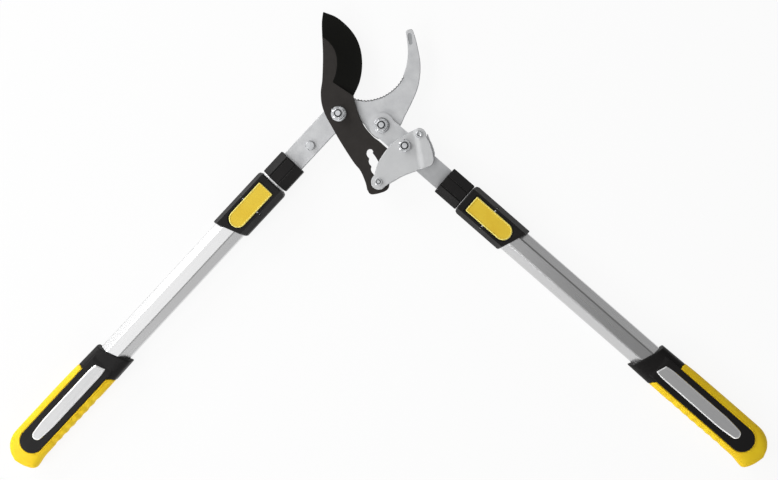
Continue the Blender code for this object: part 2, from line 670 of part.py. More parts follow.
def build_head(frame, blade_axis, lever_frame, link_axis):
    """Hook, blade, right tang, link plates and their bolts."""
    stud_place = STOP_STUD
    rivets = [on_left_handle(LEFT_SLEEVE_START + s) for s in tang_rivet_places()]
    hook_holes = [circle((0, 0), BOLT_RADIUS + RUNNING_GAP), circle(LEVER_PIVOT, BOLT_RADIUS + RUNNING_GAP),
                  circle(stud_place, PIN_RADIUS + RUNNING_GAP)]
    hook_holes += [circle(p, RIVET_RADIUS + RUNNING_GAP) for p in rivets]
    hook = piece("hook", plate(hook_outline(), hook_holes, -HOOK_THICKNESS, 0), "bright_plate", frame)
    recess = np.vstack([arc((82.4 * MM, 90.6 * MM), 2.1 * MM, 0, 180, 7),
                        arc((83.4 * MM, 82.6 * MM), 1.7 * MM, 180, 360, 7)])
    cut(hook, plate(recess, [], -0.6 * MM, 2 * MM, 0))
    stud = loft([
        at_height(circle(stud_place, PIN_RADIUS * 1.6), -HOOK_THICKNESS - SEAT_GAP - 1.6 * MM),
        at_height(circle(stud_place, PIN_RADIUS * 1.9), -HOOK_THICKNESS - SEAT_GAP - 0.6 * MM),
        at_height(circle(stud_place, PIN_RADIUS * 1.9), -HOOK_THICKNESS - SEAT_GAP),
        at_height(circle(stud_place, PIN_RADIUS), -HOOK_THICKNESS - SEAT_GAP),
        at_height(circle(stud_place, PIN_RADIUS), SEAT_GAP),
        at_height(circle(stud_place, STUD_HEAD_RADIUS), SEAT_GAP),
        at_height(circle(stud_place, STUD_HEAD_RADIUS), SEAT_GAP + STUD_HEAD_HEIGHT - 0.8 * MM),
        at_height(circle(stud_place, STUD_HEAD_RADIUS - 1.0 * MM), SEAT_GAP + STUD_HEAD_HEIGHT)])
    piece("stop_stud", stud, "zinc", frame)

    piece("blade", blade_shape(), "blade_coat", blade_axis)
    washer_low = BLADE_HIGH + SEAT_GAP
    nut_low = washer_low + WASHER_THICKNESS + SEAT_GAP
    head_high = -HOOK_THICKNESS - SEAT_GAP
    bore = BOLT_RADIUS + RUNNING_GAP
    for name, centre in (("pivot", (0, 0)), ("lever", LEVER_PIVOT)):
        piece(f"{name}_bolt", bolt(centre, BOLT_RADIUS, NUT_FLATS, head_high - HEAD_HEIGHT, head_high,
                                   nut_low + NUT_HEIGHT + THREAD_SHOW), "zinc", frame)
        piece(f"{name}_washer", ring(centre, bore, WASHER_RADIUS, washer_low, washer_low + WASHER_THICKNESS),
              "zinc", frame)
        piece(f"{name}_nut", nut(centre, bore, NUT_FLATS, nut_low, nut_low + NUT_HEIGHT), "zinc", frame)

    link_in_lever = turn(np.subtract(LINK_PIVOT, LEVER_PIVOT), RIGHT_ANGLE)
    tang = piece("right_tang", side_slab(tang_side(), 60 * MM), "bright_plate", lever_frame)
    combine(tang, plate(tang_shape(), [], -60 * MM, 60 * MM, 0), 'INTERSECT')
    for place, radius in [((0, 0), bore), (tuple(link_in_lever), bore)] + [
            ((RIGHT_SLEEVE_START + s, 0), RIVET_RADIUS + RUNNING_GAP) for s in tang_rivet_places()]:
        cut(tang, plate(circle(place, radius), [], -50 * MM, 50 * MM, 0))

    to_link = -Vector((*LINK_PIVOT, 0))
    front = piece("link_plate_front", plate(link_outline(), link_holes(), FRONT_LINK_LOW, FRONT_LINK_HIGH),
                  "bright_plate", link_axis)
    bend_outer_part(front)
    rear = piece("link_plate_rear", plate(link_outline(LIP_THICKNESS), link_holes(), REAR_LINK_LOW,
                                          REAR_LINK_HIGH), "bright_plate", link_axis)
    lip = millimetres((111.1, -45.4), (103.9, -24.4), (102.2, -25.0), (109.4, -46.0))
    lip_top = FRONT_LINK_LOW + LINK_JOGGLE - LIP_GAP
    combine(rear, plate(lip, [], REAR_LINK_LOW + 0.5 * MM, lip_top, 0), 'UNION')
    link_nut_low = FRONT_LINK_HIGH + SEAT_GAP
    rear_head_high = REAR_LINK_LOW - SEAT_GAP
    pieces = [front, rear]
    pieces.append(piece("link_bolt", bolt(LINK_PIVOT, BOLT_RADIUS, NUT_FLATS, rear_head_high - HEAD_HEIGHT,
                                          rear_head_high, link_nut_low + NUT_HEIGHT + THREAD_SHOW),
                        "zinc", link_axis))
    pieces.append(piece("link_nut", nut(LINK_PIVOT, bore, NUT_FLATS, link_nut_low, link_nut_low + NUT_HEIGHT),
                        "zinc", link_axis))
    pieces.append(piece("ratchet_bolt", bolt(RATCHET_PIN, PIN_RADIUS, SMALL_FLATS,
                                             rear_head_high - SMALL_NUT_HEIGHT, rear_head_high,
                                             link_nut_low + SMALL_NUT_HEIGHT + 0.8 * MM), "zinc", link_axis))
    pieces.append(piece("ratchet_nut", nut(RATCHET_PIN, PIN_RADIUS + RUNNING_GAP, SMALL_FLATS, link_nut_low,
                                           link_nut_low + SMALL_NUT_HEIGHT), "zinc", link_axis))
    rivet_top = link_nut_low + LINK_JOGGLE
    pieces.append(piece("link_rivet", loft([
        at_height(circle(SPACER_RIVET, RIVET_HEAD_RADIUS * 0.8), rear_head_high - 1.8 * MM),
        at_height(circle(SPACER_RIVET, RIVET_HEAD_RADIUS), rear_head_high),
        at_height(circle(SPACER_RIVET, RIVET_RADIUS), rear_head_high),
        at_height(circle(SPACER_RIVET, RIVET_RADIUS), REAR_LINK_HIGH + SEAT_GAP),
        at_height(circle(SPACER_RIVET, SPACER_RADIUS), REAR_LINK_HIGH + SEAT_GAP),
        at_height(circle(SPACER_RIVET, SPACER_RADIUS), BLADE_HIGH),
        at_height(circle(SPACER_RIVET, RIVET_RADIUS), BLADE_HIGH),
        at_height(circle(SPACER_RIVET, RIVET_RADIUS), rivet_top),
        at_height(circle(SPACER_RIVET, RIVET_HEAD_RADIUS), rivet_top),
        at_height(circle(SPACER_RIVET, RIVET_HEAD_RADIUS * 0.8), rivet_top + 1.8 * MM)]), "zinc", link_axis))
    for item in pieces:
        item.data.transform(item.matrix_basis.Translation(to_link))
        for modifier in item.modifiers:
            modifier.object.data.transform(item.matrix_basis.Translation(to_link))


# Handles

def tang_rivet_places():
    """Places of the two tang rivets from the start of the sleeve."""
    return (SLEEVE_SOLID + 5 * MM, SLEEVE_LENGTH - 5 * MM)


def tube_section(shrink=0.0):
    """Section of the outer tube, shrunk by a distance on every facet."""
    section = octagon(TUBE_WIDTH, TUBE_HEIGHT, TUBE_FLAT, TUBE_SIDE)
    return shifted(section, shrink) if shrink else section


def inner_section(shrink=0.0):
    """Section of the inner tube, which leaves the telescope's play inside the outer tube."""
    return tube_section(TUBE_WALL + TUBE_PLAY + shrink)


def build_handle(side, frame, slide_axis, sleeve_start, collar_gap, carrier):
    """One handle in its own frame: X out along the handle, Y to the outer side, Z up from the middle plane."""
    mirrored = side == "left"
    collar_start = sleeve_start + SLEEVE_LENGTH + collar_gap
    build_fitting(side, frame, sleeve_start, carrier, mirrored)
    build_inner_tube(side, frame, sleeve_start, collar_start, mirrored)
    build_collar(side, slide_axis, collar_start, mirrored)
    grip_start = collar_start + COLLAR_LENGTH + COLLAR_SLANT * COLLAR_WIDTH / 2 + TUBE_SHOWN - GRIP_SLANT
    tube_start = collar_start + COLLAR_LIP + SEAT_GAP
    tube_end = grip_start + TUBE_IN_GRIP
    outer = piece(f"{side}_outer_tube", tube_along(tube_section(), tube_section(TUBE_WALL), tube_start, tube_end),
                  "tube_aluminium", slide_axis, mirrored)
    peg = (collar_start + LEVER_START + PEG_PLACE, 0)
    cut(outer, plate(circle(peg, PEG_RADIUS + 1.2 * MM), [], 0, 40 * MM, 0), mirrored)
    build_grip(side, slide_axis, grip_start, tube_end, mirrored)


def build_fitting(side, frame, start, carrier, mirrored):
    """Black sleeve over the end of the tang, and the rivets that hold tang and inner tube."""
    outer = octagon(SLEEVE_WIDTH, SLEEVE_HEIGHT, TUBE_FLAT + 2 * MM, TUBE_SIDE + 2 * MM)
    rim = shifted(outer, 0.8 * MM)
    sleeve = piece(f"{side}_tang_sleeve", loft([
        along_x(rim, start), along_x(outer, start + 0.8 * MM),
        along_x(outer, start + SLEEVE_LENGTH - 0.8 * MM), along_x(rim, start + SLEEVE_LENGTH)]),
        "black_plastic", frame, mirrored)
    cut(sleeve, prism_along(inner_section(-RUNNING_GAP), start + SLEEVE_SOLID, start + SLEEVE_LENGTH + 9 * MM),
        mirrored)
    if carrier == "hook":
        half = TANG_WIDTH / 2 + RUNNING_GAP
        tall = HOOK_THICKNESS / 2 + RUNNING_GAP
        pocket = octagon(2 * half, 2 * tall, 2 * half - 1 * MM, 2 * tall - 1 * MM)
        cut(sleeve, prism_along(pocket, start - 9 * MM, start + SLEEVE_SOLID + 1 * MM), mirrored)
    else:
        lower = -MIDDLE_Z
        slab = [(x, z + lower) for x, z in tang_side(RUNNING_GAP)]
        pocket = new_object(f"{side}_pocket", side_slab(slab, TANG_WIDTH / 2 + RUNNING_GAP), frame, mirrored)
        pocket.display_type = 'WIRE'
        pocket.hide_render = True
        modifier = sleeve.modifiers.new("pocket", 'BOOLEAN')
        modifier.operation = 'DIFFERENCE'
        modifier.object = pocket
    ridge = TUBE_FLAT / 2 + 1 * MM
    for across in (-ridge + SLEEVE_GROOVE, ridge - SLEEVE_GROOVE):
        groove = octagon(SLEEVE_GROOVE, 2 * GROOVE_DEPTH, SLEEVE_GROOVE / 2, GROOVE_DEPTH)
        section = [(y + across, z + SLEEVE_HEIGHT / 2) for y, z in groove]
        cut(sleeve, prism_along(section, start - 9 * MM, start + SLEEVE_LENGTH + 9 * MM), mirrored)
    height = TUBE_HEIGHT / 2 - TUBE_WALL - TUBE_PLAY
    for name, place in zip(("near", "far"), tang_rivet_places()):
        piece(f"{side}_tang_rivet_{name}", rod_upright((start + place, 0), RIVET_RADIUS, -height, height), "zinc",
              frame, mirrored)


def rod_upright(centre, radius, low, high, count=ROUND_SIDES):
    """Upright round rod with small chamfers."""
    bevel = radius / 5
    return loft([at_height(circle(centre, radius - bevel, count), low),
                 at_height(circle(centre, radius, count), low + bevel),
                 at_height(circle(centre, radius, count), high - bevel),
                 at_height(circle(centre, radius - bevel, count), high)])


def merged(shapes):
    """Several separate solids in one mesh."""
    verts, faces = [], []
    for more_verts, more_faces in shapes:
        faces += [tuple(i + len(verts) for i in f) for f in more_faces]
        verts += list(more_verts)
    return verts, faces


def build_inner_tube(side, frame, sleeve_start, collar_start, mirrored):
    """Inner tube with its row of lock holes, and the bush on its far end."""
    start = sleeve_start + SLEEVE_SOLID + SEAT_GAP
    first_hole = collar_start + LEVER_START + PEG_PLACE
    end = first_hole + SLIDE_TRAVEL + 60 * MM
    tube = piece(f"{side}_inner_tube", tube_along(inner_section(), inner_section(INNER_WALL), start, end),
                 "tube_aluminium", frame, mirrored)
    holes = [rod_upright((first_hole + i * SLIDE_TRAVEL / (LOCK_HOLES - 1), 0), LOCK_HOLE_RADIUS, 0, 30 * MM,
                         count=12) for i in range(LOCK_HOLES)]
    rivet_holes = [rod_upright((sleeve_start + s, 0), RIVET_RADIUS + RUNNING_GAP, -40 * MM, 40 * MM)
                   for s in tang_rivet_places()]
    cut(tube, merged(holes + rivet_holes), mirrored)
    bush_outer = tube_section(TUBE_WALL + RUNNING_GAP)
    spigot = inner_section(INNER_WALL + RUNNING_GAP)
    piece(f"{side}_tube_bush", loft([
        along_x(spigot, end - 14 * MM), along_x(spigot, end + SEAT_GAP), along_x(bush_outer, end + SEAT_GAP),
        along_x(bush_outer, end + 8 * MM), along_x(shifted(bush_outer, 1 * MM), end + 9 * MM)]),
        "black_plastic", frame, mirrored)


def collar_section(grow=0.0):
    """Section of the collar: a wide front facet, sloped shoulders and a flat back."""
    w, f, s = COLLAR_WIDTH / 2, COLLAR_FLAT / 2, COLLAR_SIDE / 2
    section = np.array([(w, -s), (w, s), (f, COLLAR_FRONT), (-f, COLLAR_FRONT), (-w, s), (-w, -s),
                        (-f + 2 * MM, -BACK_PLANE), (f - 2 * MM, -BACK_PLANE)])
    return shifted(section, -grow) if grow else section


def rocker_plan(grow=0.0):
    """Rocker seen from the front: square end near the head, half round at the far end."""
    half = LOCK_WIDTH / 2 + grow
    round_centre = LOCK_LENGTH - LOCK_WIDTH / 2
    return np.vstack([[(-grow, half), (-grow, -half)], arc((round_centre, 0), half, -90, 90, 13)])


def build_collar(side, frame, start, mirrored):
    """Collar on the mouth of the outer tube, with the rocker, its pin and its spring."""
    section = collar_section()
    rim = shifted(section, 1.2 * MM)
    collar = piece(f"{side}_collar", loft([
        along_x(rim, start), along_x(section, start + 1.2 * MM),
        along_x(section, start + COLLAR_LENGTH - 1.2 * MM, COLLAR_SLANT),
        along_x(rim, start + COLLAR_LENGTH, COLLAR_SLANT)]), "black_plastic", frame, mirrored)
    cut(collar, prism_along(tube_section(-RUNNING_GAP), start + COLLAR_LIP, start + COLLAR_LENGTH + 30 * MM),
        mirrored)
    cut(collar, prism_along(inner_section(-RUNNING_GAP), start - 9 * MM, start + COLLAR_LIP + 1 * MM), mirrored)
    rocker_start = start + LEVER_START
    pocket = rocker_plan(POCKET_GAP) + [rocker_start, 0]
    cut(collar, plate(pocket, [], 0, 40 * MM, 0), mirrored)
    border = rocker_plan(FRAME_WIDTH) + [rocker_start, 0]
    cut(collar, plate(border, [], COLLAR_FRONT - FRAME_DEPTH, 40 * MM, 0), mirrored)
    for side_of in (1, -1):
        corner = np.array([(start - 5 * MM, side_of * (COLLAR_WIDTH / 2 + 5 * MM)),
                           (start - 5 * MM, side_of * (COLLAR_WIDTH / 2 - COLLAR_CORNER)),
                           (start, side_of * (COLLAR_WIDTH / 2 - COLLAR_CORNER)),
                           (start + 0.3 * COLLAR_CORNER, side_of * (COLLAR_WIDTH / 2 - 0.3 * COLLAR_CORNER)),
                           (start + COLLAR_CORNER, side_of * (COLLAR_WIDTH / 2)),
                           (start + COLLAR_CORNER, side_of * (COLLAR_WIDTH / 2 + 5 * MM))])
        corner = corner[::-1] if side_of < 0 else corner
        cut(collar, plate(corner, [], -40 * MM, 40 * MM, 0), mirrored)
    pin_x = rocker_start + LOCK_PIN_PLACE
    pin_half = COLLAR_FLAT / 2 + 0.8 * MM
    cut(collar, rod_across((pin_x, LOCK_PIN_HEIGHT), LOCK_PIN_RADIUS + RUNNING_GAP, COLLAR_WIDTH), mirrored)
    piece(f"{side}_lock_pin", rod_across((pin_x, LOCK_PIN_HEIGHT), LOCK_PIN_RADIUS, pin_half), "zinc", frame,
          mirrored)

    axis = empty(f"{side}_lock_axis", frame, (pin_x, 0, LOCK_PIN_HEIGHT))
    plan = rocker_plan() + [-LOCK_PIN_PLACE, 0]
    top, floor = LOCK_TOP - LOCK_PIN_HEIGHT, LOCK_FLOOR - LOCK_PIN_HEIGHT
    rocker = piece(f"{side}_lock_lever", plate(plan, [], floor, top, 0.6 * MM), "yellow_plastic", axis, mirrored)
    peg_x = PEG_PLACE - LOCK_PIN_PLACE
    peg_tip = TUBE_HEIGHT / 2 - TUBE_WALL - TUBE_PLAY + SEAT_GAP - LOCK_PIN_HEIGHT
    combine(rocker, rod_upright((peg_x, 0), PEG_RADIUS, peg_tip, top - 1 * MM), 'UNION', mirrored)
    well_x = LOCK_LENGTH - LOCK_WIDTH / 2 - LOCK_PIN_PLACE
    cut(rocker, rod_upright((well_x, 0), SPRING_RADIUS + 2 * SPRING_WIRE + 1 * MM, floor - 9 * MM,
                            top - LOCK_WALL), mirrored)
    cut(rocker, relief_wedge(well_x, floor), mirrored)
    cut(rocker, rod_across((0, 0), LOCK_PIN_RADIUS + RUNNING_GAP, COLLAR_WIDTH), mirrored)
    spring_low = TUBE_HEIGHT / 2 + SEAT_GAP
    spring_high = LOCK_TOP - LOCK_WALL - SEAT_GAP
    coil = helix(SPRING_RADIUS, SPRING_WIRE, SPRING_TURNS, spring_low, spring_high)
    spring = piece(f"{side}_lock_spring", coil, "spring_steel", frame, mirrored)
    spring.location = (pin_x + well_x, 0, 0)


def relief_wedge(well_x, floor):
    """Wedge below the rocker's far half, which leaves it room to tip down."""
    high, far, half = floor + 2.6 * MM, well_x + LOCK_WIDTH, LOCK_WIDTH
    side = [(2.2 * MM, floor - 3 * MM), (far, floor - 3 * MM), (far, high), (2.2 * MM, floor)]
    return loft([[(x, -half, z) for x, z in side][::-1], [(x, half, z) for x, z in side][::-1]])


def rod_across(centre, radius, half_length, count=ROUND_SIDES):
    """Round rod that lies across a handle, centred on its middle line."""
    loop = circle(centre, radius, count)
    return loft([[(x, -half_length, z) for x, z in loop][::-1], [(x, half_length, z) for x, z in loop][::-1]])


def helix(radius, wire, turns, low, high, steps=8, sides=5):
    """Round wire coil between two heights."""
    total = int(turns * steps) + 1
    rings = []
    for i in range(total):
        a = 2 * math.pi * i / steps
        z = low + wire + (high - low - 2 * wire) * i / (total - 1)
        rings.append([((radius + wire * math.cos(b)) * math.cos(a), (radius + wire * math.cos(b)) * math.sin(a),
                       z + wire * math.sin(b)) for b in (2 * math.pi * k / sides for k in range(sides))][::-1])
    return loft(rings)


# Grip

def superellipse(half_width, half_height, power=3.4, count=16, centre=0.0):
    """Rounded section across and up, anticlockwise."""
    a = (np.arange(count) + 0.5) * 2 * math.pi / count
    across = half_width * np.sign(np.cos(a)) * np.abs(np.cos(a)) ** (2 / power)
    up = half_height * np.sign(np.sin(a)) * np.abs(np.sin(a)) ** (2 / power)
    return np.stack([across + centre, up], axis=1)


def grip_sides(x):
    """Places of the outer and the inner side of the yellow cover at a distance along the grip."""
    outer = smooth([(30 * MM, 0.94), (60 * MM, 0.985), (100 * MM, 1.0), (142 * MM, 1.0), (158 * MM, 0.998),
                    (164 * MM, 0.98), (169 * MM, 0.925), (173 * MM, 0.85), (176.5 * MM, 0.75),
                    (180 * MM, 0.60), (183 * MM, 0.40), (GRIP_END, 0.05)], 5)
    inner = smooth([(20 * MM, 0.97), (60 * MM, 0.995), (100 * MM, 1.0), (132 * MM, 0.985), (150 * MM, 0.985),
                    (160 * MM, 1.0), (170 * MM, 1.075), (174.5 * MM, 1.085), (178 * MM, 0.98),
                    (181 * MM, 0.76), (183.5 * MM, 0.48), (GRIP_END, 0.05)], 5)
    wave = 0.0
    travel = (x - RIPPLE_START) / RIPPLE_PITCH
    if 0 < travel < RIPPLES:
        wave = RIPPLE_DEPTH * (math.cos(2 * math.pi * travel) - 1)
    outer_half = (TUBE_WIDTH / 2 + OUTER_COVER) * np.interp(x, outer[:, 0], outer[:, 1])
    inner_half = (TUBE_WIDTH / 2 + INNER_COVER) * np.interp(x, inner[:, 0], inner[:, 1])
    return outer_half, -inner_half - wave


def border_place(across):
    """Place along the grip where the head part ends and the cover begins, at a place across it."""
    share = min(abs(across) / (MOUTH_WIDTH / 2), 1.0)
    return COVER_START + GRIP_SLANT / 2 + GRIP_SLANT * across / MOUTH_WIDTH - BORDER_SWEEP * (1 - share**2)


def cover_shape(start):
    """Yellow overmould before the core is taken out of it."""
    straight = np.arange(RIPPLE_START, RIPPLE_START + RIPPLES * RIPPLE_PITCH, RIPPLE_PITCH / 4)
    first = COVER_START + GRIP_SLANT / 2
    stations = np.concatenate([[first, first + 8 * MM], straight,
                               np.array([146, 153, 160, 165, 169, 172.5, 175.5, 178, 180.5, 182.7, 184.3]) * MM,
                               [GRIP_END - 0.1 * MM]])
    rings = []
    for x in stations:
        outer, inner = grip_sides(x)
        fade = max(0.0, 1 - (x - first) / (24 * MM))
        beyond = max(0.0, (x - 150 * MM) / (GRIP_END - 150 * MM))
        height = COVER_HALF_HEIGHT * (0.45 + 0.55 * math.sqrt(max(0.0, 1 - beyond**2)))
        section = superellipse((outer - inner) / 2, height, centre=(outer + inner) / 2)
        rings.append([(start + x + fade * (border_place(p[0]) - first), p[0], p[1]) for p in section])
    return loft(rings, bent_ends=True)


def mouth_shape(start, grow=0.0):
    """Black head part of the grip. Its front edge lies back on top, and its far edge follows the cover."""
    slant = GRIP_SLANT / MOUTH_WIDTH
    half = MOUTH_WIDTH / 2
    rings = []
    for step, inset in ((0.0, 1 * MM), (1.2 * MM, 0.0)):
        section = superellipse(half - inset + grow, COVER_HALF_HEIGHT - inset + grow, 4.0)
        rings.append([(start + GRIP_SLANT / 2 + step + slant * p[0] + MOUTH_CUT * abs(p[1]), p[0], p[1])
                      for p in section])
    last = superellipse(half + 0.6 * MM + grow, COVER_HALF_HEIGHT + grow, 4.0)
    rings.append([(start + border_place(p[0]) - 2 * (SEAT_GAP - grow), p[0], p[1]) for p in last])
    return loft(rings, bent_ends=True)


def strip_plan(start, grow=0.0):
    """Raised middle strip of the core seen from the front, with its round far end."""
    half = STRIP_WIDTH / 2 + grow
    near = start + COVER_START - STRIP_UNDER_MOUTH
    return np.vstack([[(near, half), (near, -half)],
                      arc((start + STRIP_END - STRIP_WIDTH / 2, 0), half, -90, 90, 15)])


def jacket_shape(start, tube_end, grow=0.0):
    """Part of the core that wraps the tube under the cover."""
    section = shifted(octagon(JACKET_WIDTH, JACKET_HEIGHT, TUBE_FLAT + 8 * MM, TUBE_SIDE + 8 * MM), -grow)
    return prism_along(section, start + COVER_START - 4 * MM, tube_end + 4 * MM + grow)


def inlay_plan(grow=0.0):
    """Inlay seen from the front: narrow and slanted at the head, widest in the middle, round at the far end."""
    x = np.linspace(0, 1, 12)
    half = (5.8 + 2.2 * np.sin(math.pi * np.clip(x * 1.02, 0, 1)) ** 0.8) * MM + grow
    far_centre = INLAY_END - 6 * MM
    along = INLAY_START - grow + (far_centre - INLAY_START + grow) * x
    slant = INLAY_SLANT * half * (1 - x)
    far = arc((far_centre, 0), half[-1], -75, 75, 7)
    lower = np.stack([along - slant, -half], axis=1)
    upper = np.stack([along + slant, half], axis=1)
    return np.vstack([lower, far, upper[::-1]])


def build_grip(side, frame, start, tube_end, mirrored):
    """Black core, yellow cover and silver inlay of one grip."""
    core = piece(f"{side}_grip_core", mouth_shape(start), "black_plastic", frame, mirrored)
    combine(core, plate(strip_plan(start), [], -BACK_PLANE, BACK_PLANE, 0.8 * MM), 'UNION', mirrored)
    combine(core, jacket_shape(start, tube_end), 'UNION', mirrored)
    bore = tube_section(-RUNNING_GAP)
    cut(core, prism_along(bore, start - 30 * MM, tube_end + SEAT_GAP), mirrored)
    place = inlay_plan() + [start, 0]
    floor = BACK_PLANE + INLAY_PROUD - INLAY_THICKNESS
    cut(core, plate(inlay_plan(RUNNING_GAP) + [start, 0], [], floor - SEAT_GAP, 40 * MM, 0), mirrored)
    piece(f"{side}_grip_inlay", plate(place, [], floor, floor + INLAY_THICKNESS, 0.5 * MM), "inlay_silver",
          frame, mirrored)
    cover = piece(f"{side}_grip_cover", cover_shape(start), "yellow_rubber", frame, mirrored)
    cut(cover, plate(strip_plan(start, SEAT_GAP), [], -30 * MM, 30 * MM, 0), mirrored)
    cut(cover, jacket_shape(start, tube_end, SEAT_GAP), mirrored)
    cut(cover, mouth_shape(start, SEAT_GAP), mirrored)


# Assembly

def stand_on_base(root):
    """Move the whole assembly so that its box is centred on X and Y and stands on Z = 0."""
    bpy.context.view_layer.update()
    graph = bpy.context.evaluated_depsgraph_get()
    corners = []
    for item in bpy.context.scene.objects:
        if item.type == 'MESH' and not item.hide_render:
            solid = item.evaluated_get(graph)
            points = np.empty(3 * len(solid.data.vertices))
            solid.data.vertices.foreach_get("co", points)
            points = points.reshape(-1, 3)
            world = np.array(solid.matrix_world)
            corners.append(points @ world[:3, :3].T + world[:3, 3])
    corners = np.vstack(corners)
    low, high = corners.min(axis=0), corners.max(axis=0)
    root.location = (-(low[0] + high[0]) / 2, -(low[1] + high[1]) / 2, -low[2])
    print("assembly moved by", [round(c, 7) for c in root.location], "size", [round(c, 5) for c in high - low])


def main():
    """Build every piece and stand the tool on its back."""
    clear_scene()
    root = empty("lopper")
    blade_axis = empty("blade_axis", root)
    lever_frame = empty("lever_axis", root, (*LEVER_PIVOT, 0), RIGHT_ANGLE)
    link_place = turn(np.subtract(LINK_PIVOT, LEVER_PIVOT), RIGHT_ANGLE)
    link_axis = empty("link_axis", lever_frame, (*link_place, 0), -RIGHT_ANGLE)
    build_head(root, blade_axis, lever_frame, link_axis)
    left_frame = empty("left_handle_axis", root, (*on_left_handle(0), MIDDLE_Z), LEFT_ANGLE)
    right_frame = empty("right_handle_axis", lever_frame, (0, 0, MIDDLE_Z))
    left_slide = empty("left_slide", left_frame)
    right_slide = empty("right_slide", right_frame)
    build_handle("left", left_frame, left_slide, LEFT_SLEEVE_START, LEFT_COLLAR_GAP, "hook")
    build_handle("right", right_frame, right_slide, RIGHT_SLEEVE_START, RIGHT_COLLAR_GAP, "lever")
    stand_on_base(root)


main()
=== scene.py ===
"""Looks of a telescopic ratchet lopper that lies flat and fully open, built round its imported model.

Everything is in metres in the row frame. The head is laid out from the main pivot, and each handle in
its own directions: X out along the handle, Y to its outer side and Z up from its middle plane.
"""

import logging
import math
from dataclasses import dataclass, field
from enum import Enum
from typing import Any, Callable, Iterable, Optional, Union

import bmesh
import bpy
import numpy as np
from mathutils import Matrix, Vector
from mathutils.geometry import delaunay_2d_cdt


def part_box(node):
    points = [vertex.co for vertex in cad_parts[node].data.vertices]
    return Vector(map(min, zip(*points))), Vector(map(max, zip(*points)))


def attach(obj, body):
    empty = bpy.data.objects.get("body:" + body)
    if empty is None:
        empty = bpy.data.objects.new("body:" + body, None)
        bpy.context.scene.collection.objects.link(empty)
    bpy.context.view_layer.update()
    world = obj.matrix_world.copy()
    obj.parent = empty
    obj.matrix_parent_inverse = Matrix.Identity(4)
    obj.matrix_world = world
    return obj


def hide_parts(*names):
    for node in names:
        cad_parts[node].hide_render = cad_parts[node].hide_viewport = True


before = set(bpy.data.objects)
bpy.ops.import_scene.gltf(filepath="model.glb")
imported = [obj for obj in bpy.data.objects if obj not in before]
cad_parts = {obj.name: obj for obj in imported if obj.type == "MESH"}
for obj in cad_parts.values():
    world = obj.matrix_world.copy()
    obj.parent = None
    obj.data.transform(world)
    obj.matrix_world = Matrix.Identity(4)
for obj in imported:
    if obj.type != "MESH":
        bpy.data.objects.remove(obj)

LOG = logging.getLogger("lopper")
MM = 0.001

Rgb = tuple[int, int, int]
Rim = tuple[int, int]
Socket = bpy.types.NodeSocket
Points = np.ndarray
Size = Union[float, np.ndarray]

# Places that several pieces share, from the main pivot
MAIN_PIVOT = np.zeros(2)
LEVER_PIVOT = np.array([50.3, -14.0]) * MM
LINK_PIVOT = np.array([77.5, -38.1]) * MM
RATCHET_PIN = np.array([46.9, -79.8]) * MM
SPACER_RIVET = np.array([94.2, -24.8]) * MM
STUD_PLACE = np.array([-34.0, -36.7]) * MM
LEFT_ANGLE = -133.3
RIGHT_ANGLE = -41.2
LEFT_OFFSET = 1.9 * MM
CLEARANCE = 0.3 * MM

# Points nearer than MERGE become one, and edges shorter than VANISH go
MERGE = 2e-6
VANISH = 1e-7


# Node trees


def linear(colour: Rgb) -> tuple[float, ...]:
    """Turn a screen colour into linear light.

    Each channel is divided by 255, and then by 12.92 below 0.04045, or raised to 2.4 above it.

    Args:
        colour: Red, green and blue from 0 to 255.

    Returns:
        Linear red, green, blue and an alpha of one.
    """
    value = np.asarray(colour, float) / 255
    light = np.where(value <= 0.04045, value / 12.92, ((value + 0.055) / 1.055) ** 2.4)
    return (*light.tolist(), 1.0)


class Sheet:
    """A node tree that is filled node by node."""

    def __init__(self, tree: bpy.types.NodeTree) -> None:
        """Start on the tree of a material, a world or a group."""
        self.tree = tree

    def join(self, node: bpy.types.Node, inputs: dict[Union[str, int], Any]) -> bpy.types.Node:
        """Link a node's inputs or set their values.

        Args:
            node: The node.
            inputs: Sockets to link or values to set, by the input's name or number.

        Returns:
            The node.
        """
        for key, value in inputs.items():
            if isinstance(value, Socket):
                self.tree.links.new(value, node.inputs[key])
            else:
                node.inputs[key].default_value = value
        return node

    def add(self, kind: str, inputs: Optional[dict[Union[str, int], Any]] = None,
            **settings: Any) -> bpy.types.Node:
        """Add a node, set it up and join its inputs.

        Args:
            kind: Name of the node type, without its ShaderNode start.
            inputs: Sockets to link or values to set.
            settings: Properties of the node.

        Returns:
            The new node.
        """
        node = self.tree.nodes.new(f"ShaderNode{kind}")
        for name, value in settings.items():
            setattr(node, name, value)
        return self.join(node, inputs or {})

    def math(self, operation: str, first: Any, second: Any) -> Socket:
        """Work out one sum of two values."""
        return self.add("Math", {0: first, 1: second}, operation=operation).outputs[0]

    def total(self, first: Any, share: Any, second: Any, other: Any) -> Socket:
        """Add two values, each times its share."""
        return self.math('ADD', self.math('MULTIPLY', first, share), self.math('MULTIPLY', second, other))

    def blend(self, factor: Any, first: Any, second: Any) -> Socket:
        """Mix two colours by a factor."""
        return self.add("Mix", {0: factor, 6: first, 7: second}, data_type='RGBA').outputs[2]

    def spread(self, value: Socket, low: float, high: float, start: float = 0.0, end: float = 1.0) -> Socket:
        """Carry a value from start-end over to low-high, held inside it."""
        return self.add("MapRange", {"Value": value, "From Min": start, "From Max": end, "To Min": low,
                                     "To Max": high}).outputs[0]

    def noise(self, vector: Socket, scale: Any, detail: float, roughness: float = 0.55) -> Socket:
        """Fractal noise on a vector, from 0 to 1."""
        return self.add("TexNoise", {"Vector": vector, "Scale": scale, "Detail": detail,
                                     "Roughness": roughness}).outputs[0]


